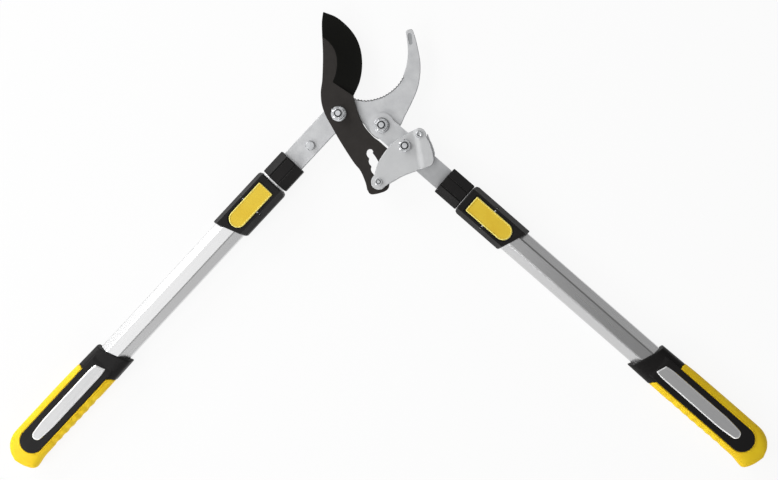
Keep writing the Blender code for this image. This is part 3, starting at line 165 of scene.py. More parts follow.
class Effect:
    """A surface effect kept as one node group, with a place and named numbers going in."""

    name = "effect"
    inputs: dict[str, float] = {}
    outputs: tuple[str, ...] = ("Mask", "Height")

    def tree(self) -> bpy.types.NodeTree:
        """Give the group's tree, made the first time that it is asked for.

        Returns:
            The tree.
        """
        made = bpy.data.node_groups.get(self.name)
        if made is None:
            made = bpy.data.node_groups.new(self.name, "ShaderNodeTree")
            made.interface.new_socket("Vector", in_out='INPUT', socket_type="NodeSocketVector")
            for name, value in self.inputs.items():
                socket = made.interface.new_socket(name, in_out='INPUT', socket_type="NodeSocketFloat")
                socket.default_value = value
            for name in self.outputs:
                made.interface.new_socket(name, in_out='OUTPUT', socket_type="NodeSocketFloat")
            sheet = Sheet(made)
            into = made.nodes.new("NodeGroupInput")
            sheet.join(made.nodes.new("NodeGroupOutput"), self.fill(sheet, into.outputs))
        return made

    def fill(self, sheet: Sheet, into: dict[str, Socket]) -> dict[str, Socket]:
        """Lay the group's nodes. Each effect has its own."""
        raise NotImplementedError

    def use(self, sheet: Sheet, **values: Any) -> bpy.types.Node:
        """Place the group in a material, with its inputs by name."""
        return sheet.add("Group", values, node_tree=self.tree())


class Mottle(Effect):
    """Cloudy patches with a fine speckle on them, as on plated or coated plate."""

    name = "mottle"
    inputs = {"Patch": 60.0, "Speckle": 900.0, "Share": 0.35}

    def fill(self, sheet: Sheet, into: dict[str, Socket]) -> dict[str, Socket]:
        """Patches and speckle are two noises, mixed by Share. The height is the speckle.

        Args:
            sheet: Sheet of the group.
            into: What comes into the group.

        Returns:
            Value of each output.
        """
        wide = sheet.spread(sheet.noise(into["Vector"], into["Patch"], 4.0), 0.0, 1.0, 0.3, 0.7)
        speckle = sheet.noise(into["Vector"], into["Speckle"], 2.0)
        fine = sheet.spread(speckle, 0.0, 1.0, 0.25, 0.75)
        rest = sheet.math('SUBTRACT', 1.0, into["Share"])
        return {"Mask": sheet.total(wide, rest, fine, into["Share"]), "Height": speckle}


class Brushed(Effect):
    """Long thin lines along X, as on metal that was ground or drawn."""

    name = "brushed"
    inputs = {"Across": 2500.0, "Along": 12.0}

    def fill(self, sheet: Sheet, into: dict[str, Socket]) -> dict[str, Socket]:
        """Noise on coordinates that are stretched: slow along X, fast across it, at two widths.

        Args:
            sheet: Sheet of the group.
            into: What comes into the group.

        Returns:
            Value of each output.
        """
        found = []
        for share in (1.0, 0.22):
            across = sheet.math('MULTIPLY', into["Across"], share)
            scale = sheet.add("CombineXYZ", {0: into["Along"], 1: across, 2: across}).outputs[0]
            place = sheet.add("VectorMath", {0: into["Vector"], 1: scale}, operation='MULTIPLY').outputs[0]
            found.append(sheet.noise(place, 1.0, 2.0))
        both = sheet.total(found[0], 0.6, found[1], 0.4)
        return {"Mask": sheet.spread(both, 0.0, 1.0, 0.3, 0.7), "Height": found[0]}


class Moulded(Effect):
    """Shallow, rounded pebble grain of moulded plastic or rubber."""

    name = "moulded"
    inputs = {"Pebble": 1600.0, "Patch": 45.0}

    def fill(self, sheet: Sheet, into: dict[str, Socket]) -> dict[str, Socket]:
        """Pebbles are the distance to the nearest of many scattered points. The mask is slow noise.

        Args:
            sheet: Sheet of the group.
            into: What comes into the group.

        Returns:
            Value of each output.
        """
        cells = sheet.add("TexVoronoi", {"Vector": into["Vector"], "Scale": into["Pebble"]},
                          feature='SMOOTH_F1').outputs["Distance"]
        patch = sheet.noise(into["Vector"], into["Patch"], 4.0)
        return {"Mask": sheet.spread(patch, 0.0, 1.0, 0.3, 0.7), "Height": cells}


class EdgeWearAndLight(Effect):
    """Rubbed edges, and painted edge shade and highlight: where the surface turns sharply, broken up by
    noise.
    """

    name = "edge_wear_and_light"
    inputs = {"Edge": 0.0, "Breakup": 500.0, "Reach": 0.5}
    outputs = ("Mask",)

    def fill(self, sheet: Sheet, into: dict[str, Socket]) -> dict[str, Socket]:
        """The mask is the edge value times Reach plus 0.6 of the noise, with 0.62-0.85 stretched to 0-1.

        Args:
            sheet: Sheet of the group.
            into: What comes into the group.

        Returns:
            Value of each output.
        """
        rough = sheet.noise(into["Vector"], into["Breakup"], 4.0, 0.65)
        total = sheet.total(into["Edge"], into["Reach"], rough, 0.6)
        return {"Mask": sheet.spread(total, 0.0, 1.0, 0.62, 0.85)}


# Finishes


class Grain(Enum):
    """Kinds of surface grain."""

    MOTTLED = "mottled"
    BRUSHED = "brushed"
    MOULDED = "moulded"


@dataclass(frozen=True)
class Finish:
    """A surface finish with its colours, gloss and grain."""

    name: str
    colour: Rgb
    shade: Rgb
    # Colour at edges: rubbed wear, painted edge shade on the plated steel and link plates, and painted
    # highlight on the rocker and the inlay.
    edge_wear_and_painted_light: Rgb
    grain: Grain
    roughness: tuple[float, float]
    metallic: float = 0.0
    relief: float = 0.00002
    patch: float = 60.0
    fine: float = 900.0
    share: float = 0.35
    specular: float = 0.5
    edge_wear_and_light: float = 0.4

    def material(self, angle: float = 0.0) -> bpy.types.Material:
        """Give the finish's material, made once for each direction of its grain.

        Args:
            angle: Direction of the grain in degrees from +X.

        Returns:
            The material.
        """
        label = f"{self.name}_{round(angle) % 360}" if self.grain is Grain.BRUSHED else self.name
        made = bpy.data.materials.get(label)
        if made is not None:
            return made
        made = bpy.data.materials.new(label)
        made.use_nodes = True
        sheet = Sheet(made.node_tree)
        place = sheet.add("TexCoord").outputs["Object"]
        if self.grain is Grain.BRUSHED:
            turn = (0.0, 0.0, -math.radians(angle))
            place = sheet.add("Mapping", {"Vector": place, "Rotation": turn}).outputs[0]
            group = Brushed().use(sheet, Vector=place, Across=self.fine, Along=self.patch)
        elif self.grain is Grain.MOTTLED:
            group = Mottle().use(sheet, Vector=place, Patch=self.patch, Speckle=self.fine, Share=self.share)
        else:
            group = Moulded().use(sheet, Vector=place, Pebble=self.fine, Patch=self.patch)
        mask, height = group.outputs["Mask"], group.outputs["Height"]
        edge = sheet.add("Attribute", attribute_name="edge").outputs["Fac"]
        # The edge mask mixes in the edge colour, which is wear on some finishes and painted edge shade and
        # highlight on others.
        edge_wear_and_painted_light = EdgeWearAndLight().use(sheet, Vector=place, Edge=edge, Reach=self.edge_wear_and_light).outputs["Mask"]
        colour = sheet.blend(mask, linear(self.shade), linear(self.colour))
        bump = sheet.add("Bump", {"Height": height, "Strength": 1.0, "Distance": self.relief})
        sheet.join(made.node_tree.nodes["Principled BSDF"], {
            "Base Color": sheet.blend(edge_wear_and_painted_light, colour, linear(self.edge_wear_and_painted_light)),
            "Roughness": sheet.spread(mask, self.roughness[1], self.roughness[0]),
            "Metallic": self.metallic, "Specular IOR Level": self.specular, "Normal": bump.outputs[0]})
        return made


# The plated steel's dark edge colour is painted shade along the plate's side walls and edges.
PLATE = Finish("plated_steel", (226, 227, 228), (204, 205, 207), (150, 152, 154), Grain.MOTTLED,
               (0.36, 0.5), metallic=0.5, relief=0.00003, patch=70.0, fine=1200.0, edge_wear_and_light=0.8)
# Darker steel painted on the floor of the sunk tip mark, as shade in the recess.
SUNK_SHADE = Finish("sunk_shade_steel", (176, 178, 180), (164, 166, 168), (140, 142, 144), Grain.MOTTLED,
              (0.45, 0.55), metallic=0.4, relief=0.00003, patch=200.0)
# Near black steel painted on the throat's walls, as the shade of its notches.
THROAT_SHADE = Finish("throat_shade_steel", (66, 67, 68), (40, 41, 42), (120, 121, 122), Grain.MOTTLED,
               (0.4, 0.5), metallic=0.5, relief=0.00003, patch=300.0, edge_wear_and_light=0.0)
DARK_STEEL = Finish("thread_steel", (84, 86, 88), (62, 64, 66), (120, 122, 124), Grain.MOTTLED,
                    (0.35, 0.45), metallic=0.7, relief=0.00001, patch=300.0, edge_wear_and_light=0.0)
# The link plates' dark edge colour is painted shade along their edges.
LINK_PLATE = Finish("link_plate_steel", (220, 221, 222), (208, 209, 210), (160, 162, 164), Grain.MOTTLED,
                    (0.36, 0.46), metallic=0.5, relief=0.00002, patch=50.0, fine=1500.0, edge_wear_and_light=0.7)
COATING = Finish("blade_coating", (52, 49, 47), (46, 43, 41), (84, 82, 80), Grain.MOTTLED,
                 (0.5, 0.62), relief=0.00003, patch=120.0, fine=1800.0, specular=0.2, edge_wear_and_light=0.2)
# The black blade coating painted near black on the tilted ground bevel, as painted shade.
BEVEL_SHADE = Finish("bevel_shade_coating", (17, 17, 14), (13, 13, 11), (60, 60, 58), Grain.MOTTLED,
                (0.45, 0.55), relief=0.00001, patch=60.0, fine=2200.0, specular=0.12, edge_wear_and_light=0.35)
ZINC = Finish("zinc_plate", (208, 209, 211), (180, 182, 184), (225, 226, 227), Grain.MOTTLED,
              (0.16, 0.26), metallic=1.0, relief=0.00001, patch=250.0, fine=2600.0)
ALUMINIUM = Finish("anodised_tube", (223, 223, 223), (219, 219, 220), (242, 242, 242), Grain.BRUSHED,
                   (0.27, 0.29), metallic=1.0, relief=0.0000001, patch=6.0, fine=700.0, edge_wear_and_light=0.3)
BLACK = Finish("moulded_black", (24, 22, 22), (18, 17, 17), (44, 42, 41), Grain.MOULDED,
               (0.42, 0.52), relief=0.00003, patch=45.0, fine=1500.0, specular=0.22, edge_wear_and_light=0.15)
# The rocker's pale edge colour is a painted highlight on its rounded rim.
YELLOW = Finish("moulded_yellow", (240, 208, 62), (234, 196, 50), (250, 236, 130), Grain.MOULDED,
                (0.36, 0.46), relief=0.00002, patch=45.0, fine=1500.0, specular=0.3, edge_wear_and_light=0.9)
RUBBER = Finish("soft_yellow", (254, 219, 34), (250, 207, 24), (255, 232, 96), Grain.MOULDED,
                (0.5, 0.62), relief=0.000005, patch=35.0, fine=900.0, specular=0.25, edge_wear_and_light=0.2)
# The inlay's near white edge colour, laid over its whole facet, is a painted highlight on the bevelled
# border.
SILVER = Finish("silver_inlay", (212, 212, 212), (200, 200, 201), (250, 250, 250), Grain.BRUSHED,
                (0.3, 0.4), metallic=0.6, relief=0.0000005, patch=14.0, fine=1600.0, edge_wear_and_light=1.2)
SPRING = Finish("spring_wire", (150, 150, 152), (128, 128, 130), (180, 180, 180), Grain.MOTTLED,
                (0.25, 0.4), metallic=1.0)


# Outlines


def direction(angle: float) -> Points:
    """Give the unit vector at an angle in degrees from +X."""
    return np.array([math.cos(math.radians(angle)), math.sin(math.radians(angle))])


def millimetres(*pairs: tuple[float, float]) -> Points:
    """Give pairs of millimetre values as an array in metres."""
    return np.array(pairs, float) * MM


def arc(centre: Points, radius: float, start: float, end: float, count: int) -> Points:
    """Give points on an arc between two angles in degrees, both ends included."""
    angles = np.radians(np.linspace(start, end, count))
    return np.stack([centre[0] + radius * np.cos(angles), centre[1] + radius * np.sin(angles)], axis=1)


def circle(centre: Points, radius: float, count: int = 72) -> Points:
    """Give a closed circle that runs anticlockwise."""
    return arc(centre, radius, 0, 360, count + 1)[:-1]


def curve(points: Points, steps: int = 12) -> Points:
    """Draw a smooth curve through points.

    Each span between two points is the Catmull-Rom cubic: it passes both points, and at each it runs
    parallel to the line between that point's two neighbours. The ends are continued in a straight line.

    Args:
        points: Places that the curve passes.
        steps: Points for each span.

    Returns:
        The dense curve, both ends included.
    """
    p = np.asarray(points, float)
    p = np.vstack([2 * p[0] - p[1], p, 2 * p[-1] - p[-2]])
    t = np.linspace(0, 1, steps, endpoint=False)[None, :, None]
    a, b, c, d = p[:-3, None], p[1:-2, None], p[2:-1, None], p[3:, None]
    spans = 0.5 * (2 * b + (c - a) * t + (2 * a - 5 * b + 4 * c - d) * t**2 + (3 * b - a - 3 * c + d) * t**3)
    return np.vstack([spans.reshape(-1, p.shape[1]), p[-2:-1]])


def drawn(*pairs: tuple[float, float]) -> Points:
    """Draw a smooth curve through places in millimetres, with eight points for each span."""
    return curve(millimetres(*pairs), 8)


def travelled(line: Points) -> Points:
    """Give the distance run along a line at each of its points."""
    return np.concatenate([[0.0], np.cumsum(np.linalg.norm(np.diff(line, axis=0), axis=1))])


def stepped(line: Points, count: int) -> Points:
    """Give a line again as evenly spaced points.

    Args:
        line: The line.
        count: How many points.

    Returns:
        The new points.
    """
    along = travelled(line)
    stations = np.linspace(0, along[-1], count)
    return np.stack([np.interp(stations, along, line[:, k]) for k in range(line.shape[1])], axis=1)


def leftward(line: Points) -> Points:
    """Give the unit vector to the left of a line at each point, square to the run between its neighbours.

    Args:
        line: The line.

    Returns:
        One unit vector for each point.
    """
    forward = np.gradient(line, axis=0)
    forward /= np.linalg.norm(forward, axis=1)[:, None]
    return np.stack([-forward[:, 1], forward[:, 0]], axis=1)


def turned(points: Points, angle: float, centre: Points = (0.0, 0.0)) -> Points:
    """Turn points clockwise by an angle in degrees about a centre.

    Args:
        points: The points.
        angle: Angle in degrees.
        centre: What they turn about.

    Returns:
        The turned points.
    """
    a = -math.radians(angle)
    matrix = np.array([[math.cos(a), -math.sin(a)], [math.sin(a), math.cos(a)]])
    return (np.asarray(points, float) - centre) @ matrix.T + centre


def share_of(value: Points, start: float, run: float) -> Points:
    """Give how far a value is along a run from a start, from 0 to 1."""
    return np.clip((value - start) / run, 0, 1)


def eased(value: Points, start: float, run: float) -> Points:
    """Give the share t of a run with soft ends, as 3 t² - 2 t³."""
    t = share_of(value, start, run)
    return t * t * (3 - 2 * t)


def quarter(size: float, count: int) -> tuple[Points, Points]:
    """Give a quarter circle: size × (1 - sin t), which falls, and size × (1 - cos t), which rises."""
    t = np.linspace(0, math.pi / 2, count)
    return size * (1 - np.sin(t)), size * (1 - np.cos(t))


def superellipse(count: int, power: float) -> tuple[Points, Points]:
    """Give a rounded section of half sizes one: cos and sin raised to two over the power.

    Args:
        count: How many points.
        power: Two for a circle, and more for a squarer section.

    Returns:
        Places across and up.
    """
    a = (np.arange(count) + 0.5) * 2 * math.pi / count
    across, up = (np.sign(c) * np.abs(c) ** (2 / power) for c in (np.cos(a), np.sin(a)))
    return across, up


def inset(loop: Points, distance: Size) -> Points:
    """Move a closed anticlockwise loop inwards along its corner bisectors.

    Each point goes along the sum of the normals of its two sides, divided by one plus their product, which
    moves both sides by the distance.

    Args:
        loop: The loop.
        distance: One distance, or one for each point.

    Returns:
        The moved loop.
    """
    edge = np.roll(loop, -1, axis=0) - loop
    length = np.maximum(np.linalg.norm(edge, axis=1), 1e-9)[:, None]
    normal = np.stack([-edge[:, 1], edge[:, 0]], axis=1) / length
    before = np.roll(normal, 1, axis=0)
    scale = np.maximum(1 + np.sum(normal * before, axis=1), 0.5)
    return loop + (np.broadcast_to(distance, scale.shape) / scale)[:, None] * (normal + before)


def bends(corner: Points, back: Points, ahead: Points, radius: float, most: float) -> Points:
    """Round corners, each by a quadratic curve of five points.

    The curve is (1 - t)² first + 2 t (1 - t) corner + t² last, where first and last lie on the corner's
    two sides.

    Args:
        corner: The corners.
        back: Vector from each corner to the one before it.
        ahead: Vector from each corner to the one after it.
        radius: How far from the corner the curve starts.
        most: Largest share of a side that it may take.

    Returns:
        Corners by curve points by two.
    """
    t = np.linspace(0, 1, 5)[None, :, None]
    lengths = [np.linalg.norm(side, axis=1)[:, None] for side in (back, ahead)]
    first, last = (corner + side / length * np.minimum(radius, most * length)
                   for side, length in zip((back, ahead), lengths))
    return (1 - t)**2 * first[:, None] + 2 * t * (1 - t) * corner[:, None] + t**2 * last[:, None]


def fair(corner: Points, radius: float) -> Points:
    """Round a closed loop's corners, with one more point beside each bend to keep the sides flat.

    Args:
        corner: The loop's corners.
        radius: How far from a corner its curve starts.

    Returns:
        The rounded loop.
    """
    back, ahead = (np.roll(corner, turn, axis=0) - corner for turn in (1, -1))
    bend = bends(corner, back, ahead, radius, 0.45)
    before, behind = corner + (bend[:, 0] - corner) * 1.1, corner + (bend[:, -1] - corner) * 1.1
    return np.concatenate([before[:, None], bend, behind[:, None]], axis=1).reshape(-1, 2)


def rounded_profile(*points: tuple[float, float], radius: float) -> Points:
    """Round the corners of a profile of radii and heights in millimetres, its two ends left as they are.

    Args:
        points: Radius and height of each corner.
        radius: How far from a corner its curve starts.

    Returns:
        The rounded profile in metres.
    """
    line = millimetres(*points)
    middle = line[1:-1]
    bend = bends(middle, line[:-2] - middle, line[2:] - middle, radius, 0.42)
    return np.vstack([line[:1], bend.reshape(-1, 2), line[-1:]])


def inside(points: Points, loop: Points) -> Points:
    """Say which points lie in a closed loop: a line to the right crosses it an odd number of times.

    Args:
        points: The points.
        loop: The loop.

    Returns:
        One truth value for each point.
    """
    x, y = points[:, 0:1], points[:, 1:2]
    x0, y0 = loop[None, :, 0], loop[None, :, 1]
    x1, y1 = np.roll(x0, -1, axis=1), np.roll(y0, -1, axis=1)
    rise = np.where(y1 == y0, 1e-12, y1 - y0)
    crossing = ((y0 > y) != (y1 > y)) & (x < x0 + (y - y0) * (x1 - x0) / rise)
    return crossing.sum(axis=1) % 2 == 1


# Meshes


def finished(name: str, mesh: bpy.types.Mesh, sharp: float, flatten: float = 0.0) -> bpy.types.Object:
    """Merge a mesh's doubles, turn its closed shells outwards, smooth its faces and link its object.

    Args:
        name: Name of the object.
        mesh: Its mesh.
        sharp: Angle in degrees past which an edge stays sharp.
        flatten: Angle in degrees below which neighbouring faces become one, or zero.

    Returns:
        The object, at the origin.
    """
    work = bmesh.new()
    work.from_mesh(mesh)
    bmesh.ops.remove_doubles(work, verts=work.verts, dist=MERGE)
    if flatten:
        bmesh.ops.dissolve_limit(work, angle_limit=math.radians(flatten), verts=work.verts, edges=work.edges)
    else:
        bmesh.ops.dissolve_degenerate(work, edges=work.edges, dist=VANISH)
    bmesh.ops.recalc_face_normals(work, faces=work.faces)
    work.to_mesh(mesh)
    work.free()
    mesh.shade_smooth()
    mesh.set_sharp_from_angle(angle=math.radians(sharp))
    item = bpy.data.objects.new(name, mesh)
    bpy.context.scene.collection.objects.link(item)
    return item


class Skin:
    """A surface in the making: points, faces and how near each point is to an edge."""

    def __init__(self) -> None:
        """Start with nothing."""
        self.points = np.zeros((0, 3))
        self.edge = np.zeros(0)
        self.faces: list[tuple[int, ...]] = []
        self.marks: list[int] = []
        self.mark = 0

    def join(self, faces: list[tuple[int, ...]]) -> None:
        """Add faces, which take the present mark as their material's number."""
        self.faces += faces
        self.marks += [self.mark] * len(faces)

    def repaint(self, first: int, count: int, mark: int) -> None:
        """Give a run of faces another mark."""
        self.marks[first:first + count] = [mark] * count

    def add(self, points: Points, edge: Size = 0.0) -> int:
        """Add points with their edge value, one or one for each, and give the number of the first.

        Args:
            points: The points.
            edge: Edge value, one or one for each point.

        Returns:
            Number of the first point.
        """
        first = len(self.points)
        points = np.asarray(points, float).reshape(-1, 3)
        self.points = np.vstack([self.points, points])
        self.edge = np.concatenate([self.edge, np.broadcast_to(np.ravel(edge), len(points))])
        return first

    def grid(self, points: Points, edge: Size = 0.0, ring: bool = True, loop: bool = False) -> int:
        """Add a grid of points with a quad between each four neighbours.

        With rings that run anticlockwise about the direction in which the rows follow each other, the faces
        point outwards.

        Args:
            points: Rows by columns by three.
            edge: Edge value, one or one for each row.
            ring: Whether each row is closed.
            loop: Whether the last row joins the first.

        Returns:
            Number of the first point.
        """
        rows, columns = points.shape[:2]
        first = self.add(points, edge if np.ndim(edge) == 0 else np.repeat(edge, columns))
        i = np.arange(rows if loop else rows - 1)[:, None]
        j = np.arange(columns if ring else columns - 1)[None, :]
        across, above = (j + 1) % columns, (i + 1) % rows
        quads = np.stack([i * columns + j, i * columns + across, above * columns + across,
                          above * columns + j], -1)
        self.join([tuple(q) for q in (first + quads.reshape(-1, 4)).tolist()])
        return first

    def cap(self, loops: list[Rim], up: bool, spacing: float) -> None:
        """Fill a level outline, less its holes, with near even triangles.

        Points are strewn inside on a staggered lattice, and a constrained Delaunay triangulation joins them
        to the loops.

        Args:
            loops: First point and count of the outline, and then of each hole.
            up: Whether the faces look up.
            spacing: Distance between the points inside.
        """
        index = np.concatenate([np.arange(first, first + count) for first, count in loops])
        flat = self.points[index][:, :2]
        height = float(self.points[index[0], 2])
        starts = np.cumsum([0] + [count for _, count in loops]).tolist()
        borders = [flat[start:end] for start, end in zip(starts, starts[1:])]

        def held(points: Points) -> Points:
            """Say which points lie in the outline and in none of its holes.

            Args:
                points: The points.

            Returns:
                One truth value for each point.
            """
            keep = inside(points, borders[0])
            for hole in borders[1:]:
                keep &= ~inside(points, hole)
            return keep

        low, high = flat.min(axis=0), flat.max(axis=0)
        rows = np.arange(low[1], high[1], spacing * 0.866)
        x, y = np.meshgrid(np.arange(low[0], high[0], spacing), rows)
        x = x + (np.arange(len(rows)) % 2)[:, None] * spacing / 2
        strewn = np.stack([x.ravel(), y.ravel()], axis=1)
        strewn = strewn[held(strewn)]
        near = ((strewn[:, None] - flat[None])**2).sum(axis=2).min(axis=1, initial=1.0)
        strewn = strewn[near > (0.45 * spacing)**2]
        first = self.add(np.column_stack([strewn, np.full(len(strewn), height)]))
        index = np.concatenate([index, np.arange(first, first + len(strewn))])
        sides = [(start + i, start + (i + 1) % (end - start))
                 for start, end in zip(starts, starts[1:]) for i in range(end - start)]
        vertices = [Vector(p) for p in (np.vstack([flat, strewn]) / MM).tolist()]
        made = delaunay_2d_cdt(vertices, sides, [], 1, 1e-5)
        places, triangles, origin = made[0], np.array(made[2]), made[3]
        middle = np.array([tuple(p) for p in places])[triangles].mean(axis=1) * MM
        numbers = [int(index[source[0]]) if source else self.add([(place[0] * MM, place[1] * MM, height)])
                   for place, source in zip(places, origin)]
        order = 1 if up else -1
        self.join([tuple(numbers[i] for i in face)[::order] for face in triangles[held(middle)].tolist()])

    def warp(self, change: Callable[[Points], Points]) -> "Skin":
        """Move all points by a rule and give the skin back."""
        self.points = change(self.points)
        return self

    def plus(self, other: "Skin") -> "Skin":
        """Take in another surface and give the skin back.

        Args:
            other: The other surface.

        Returns:
            This surface.
        """
        first = self.add(other.points, other.edge)
        self.faces += [tuple(i + first for i in face) for face in other.faces]
        self.marks += other.marks
        return self

    def object(self, name: str, sharp: float) -> bpy.types.Object:
        """Make the mesh and its object, with edges sharp past an angle in degrees.

        Args:
            name: Name of the object and of its mesh.
            sharp: Angle in degrees.

        Returns:
            The object, at the origin.
        """
        mesh = bpy.data.meshes.new(name)
        mesh.from_pydata(self.points.tolist(), [], self.faces)
        mesh.polygons.foreach_set("material_index", self.marks)
        values = mesh.attributes.new("edge", 'FLOAT', 'POINT').data
        values.foreach_set("value", self.edge.astype(np.float32))
        return finished(name, mesh, sharp)


def sweep(rings: Points, closed: bool = False) -> Skin:
    """Skin a pile of rings. An open one has its ends filled from the middle of the ring.

    Args:
        rings: Rings by points by three.
        closed: Whether the last ring joins the first.

    Returns:
        The surface.
    """
    skin = Skin()
    first, count = skin.grid(rings, loop=closed), rings.shape[1]
    for start, ring, order in ((first, rings[0], 1), (first + (len(rings) - 1) * count, rings[-1], -1)):
        if not closed:
            centre = skin.add([ring.mean(axis=0)])
            j = np.arange(count)
            fan = np.stack([start + (j + 1) % count, start + j, np.full(count, centre)], axis=1)
            skin.join([tuple(side)[::order] for side in fan.tolist()])
    return skin


def lathe(rows: Iterable[tuple[Size, Size]], centre: Points, count: int = 72) -> Points:
    """Turn a profile about an upright axis.

    A row of radius r and height z gives a ring (x + r cos a, y + r sin a, z).

    Args:
        rows: Radius and height, each one or one for each angle, from below to above.
        centre: The axis.
        count: Points in each ring.

    Returns:
        Rings by points by three.
    """
    a = np.arange(count) * 2 * math.pi / count
    return np.stack([np.stack([centre[0] + radius * np.cos(a), centre[1] + radius * np.sin(a),
                               np.broadcast_to(height, count)], axis=1) for radius, height in rows])


@dataclass
class Plate:
    """A flat plate with rounded edges, holes and sunk places.

    Soft is the share of the rounding, one or one for each point of the outline. A facet, given as its
    width and fall, takes the place of the upper rounding.
    """

    outline: Points
    low: float
    high: float
    rounding: float = 0.45 * MM
    holes: list[Points] = field(default_factory=list)
    sunk: list[tuple[Points, float]] = field(default_factory=list)
    soft: Size = 1.0
    hole_rounding: float = 0.2 * MM
    spacing: float = 4.0 * MM
    steps: int = 4
    facet: Optional[tuple[float, float]] = None
    floor_mark: int = 0

    def profile(self, size: float) -> tuple[Points, Points, Points]:
        """Give the edge from below to above: how far in, at which height and how near the edge.

        Both corners are quarter circles of the given size, with one more level place inside each.

        Args:
            size: Radius of the rounding.

        Returns:
            Distances inwards, heights and edge values.
        """
        turn_in, turn_up = quarter(size, self.steps + 1)
        half = np.concatenate([[2.0 * size], turn_in])
        height = np.concatenate([[0.0], turn_up])
        near = np.concatenate([[0.0], np.linspace(0.4, 1.0, self.steps + 1)])
        if self.facet:
            wide, fall = self.facet
            inner = wide * np.array([0.0, 0.0, 0.1, 0.9, 1.0, 1.25])
            down = np.array([fall + 0.2 * MM, fall, 0.9 * fall, 0.1 * fall, 0.0, 0.0])
            # Edge values stay high across the facet, so the inlay's finish paints it as a bright highlight.
            bright = [1.0, 1.0, 1.0, 1.0, 0.6, 0.0]
        else:
            inner, down, bright = half[::-1], height[::-1], near[::-1]
        return (np.concatenate([half, inner]), np.concatenate([self.low + height, self.high - down]),
                np.concatenate([near, bright]))

    def side(self, skin: Skin, loop: Points, size: float, sign: float, soft: Size = 1.0,
             top: Optional[Points] = None) -> tuple[Rim, Rim]:
        """Carry the edge profile round a loop.

        Args:
            skin: Surface that the side joins.
            loop: The loop.
            size: Radius of the rounding.
            sign: One for the outline, and minus one for a hole.
            soft: Share of the rounding, one or one for each point.
            top: Height of the top at each point, where it isn't level.

        Returns:
            The lower and the upper rim, each as its first point and count.
        """
        count = len(loop)
        into, height, near = self.profile(size)
        top = np.full(count, self.high) if top is None else top
        rows = []
        for k, (distance, z) in enumerate(zip(into, height)):
            level = self.low + (z - self.low) * soft if k < self.steps + 2 else top - (self.high - z) * soft
            rows.append(np.column_stack([inset(loop, sign * distance * soft), np.broadcast_to(level, count)]))
        first = skin.grid(np.stack(rows), near)
        return (first, count), (first + (len(rows) - 1) * count, count)

    def bores(self, skin: Skin) -> list[tuple[Rim, Rim]]:
        """Add the sides of the holes, and give the lower and the upper rim of each."""
        return [self.side(skin, hole, self.hole_rounding, -1.0) for hole in self.holes]

    def sink(self, skin: Skin, loop: Points, depth: float) -> Rim:
        """Sink a place in the top face, with a rounded rim and a level floor.

        Args:
            skin: Surface of the plate.
            loop: The place's outline.
            depth: How deep its floor lies.

        Returns:
            First point and count of the rim.
        """
        turn_in, turn_up = quarter(self.hole_rounding, self.steps + 1)
        out = np.concatenate([[2 * self.hole_rounding], turn_in, [0.0]])
        down = np.concatenate([[0.0], turn_up, [depth]])
        near = np.concatenate([[0.0], np.linspace(0.4, 1.0, self.steps + 1), [0.0]])
        count = len(loop)
        rows = np.stack([np.column_stack([inset(loop, -o), np.full(count, self.high - d)])
                         for o, d in zip(out, down)])
        first = skin.grid(rows, near)
        skin.mark = self.floor_mark
        skin.cap([(first + (len(rows) - 1) * count, count)], True, self.spacing)
        skin.mark = 0
        return first, count

    def skin(self) -> Skin:
        """Build the plate: its side, the sides of its holes, and a cap below and above.

        Returns:
            The closed surface.
        """
        skin = Skin()
        rims = [self.side(skin, self.outline, self.rounding, 1.0, self.soft)] + self.bores(skin)
        sunk = [self.sink(skin, loop, depth) for loop, depth in self.sunk]
        skin.cap([low for low, _ in rims], False, self.spacing)
        skin.cap([high for _, high in rims] + sunk, True, self.spacing)
        return skin


# Pieces


@dataclass(frozen=True)
class Part:
    """What a piece is: name, body, slot, finishes, nodes that it stands for, and two angles.

    Edges stay sharp past the one angle, and the grain runs at the other, both in degrees.
    """

    name: str
    body: str
    slot: str
    finishes: tuple[Finish, ...]
    nodes: tuple[str, ...]
    sharp: float
    angle: float = 0.0


class Workbench:
    """Turns surfaces into pieces. They are laid out from the main pivot on the hook's front face."""

    def __init__(self) -> None:
        """Find the main pivot."""
        low, high = (np.array(corner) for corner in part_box("pivot_bolt"))
        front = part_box("hook")[1][2]
        self.origin = np.array([(low[0] + high[0]) / 2, (low[1] + high[1]) / 2, front])
        self.made = 0

    def settle(self, item: bpy.types.Object, part: Part) -> None:
        """Dress a piece and tie it to the model.

        Args:
            item: The piece.
            part: What it is.
        """
        if len(item.data.materials):
            item.data.materials.clear()
        for finish in part.finishes:
            item.data.materials.append(finish.material(part.angle))
        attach(item, part.body)
        if part.nodes:
            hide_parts(*part.nodes)
        self.made += 1
        LOG.info("%s: %d faces on %s", item.name, len(item.data.polygons), part.body)

    def piece(self, skin: Skin, part: Part) -> None:
        """Make a piece of a surface laid out from the main pivot."""
        self.settle(skin.warp(lambda points: points + self.origin).object(part.name, part.sharp), part)

    def refined(self, part: Part, width: float) -> None:
        """Copy a node's mesh, make its flat faces whole and round its edges by a width.

        Args:
            part: What the piece is, with the node whose mesh it takes.
            width: Width of the rounding.
        """
        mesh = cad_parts[part.nodes[0]].data.copy()
        mesh.name = part.name
        item = finished(part.name, mesh, part.sharp, 0.6)
        bevel = item.modifiers.new("rounding", 'BEVEL')
        bevel.width = width
        bevel.segments = 3
        bevel.limit_method = 'ANGLE'
        bevel.angle_limit = math.radians(part.sharp)
        bevel.harden_normals = True
        self.settle(item, part)


# Head


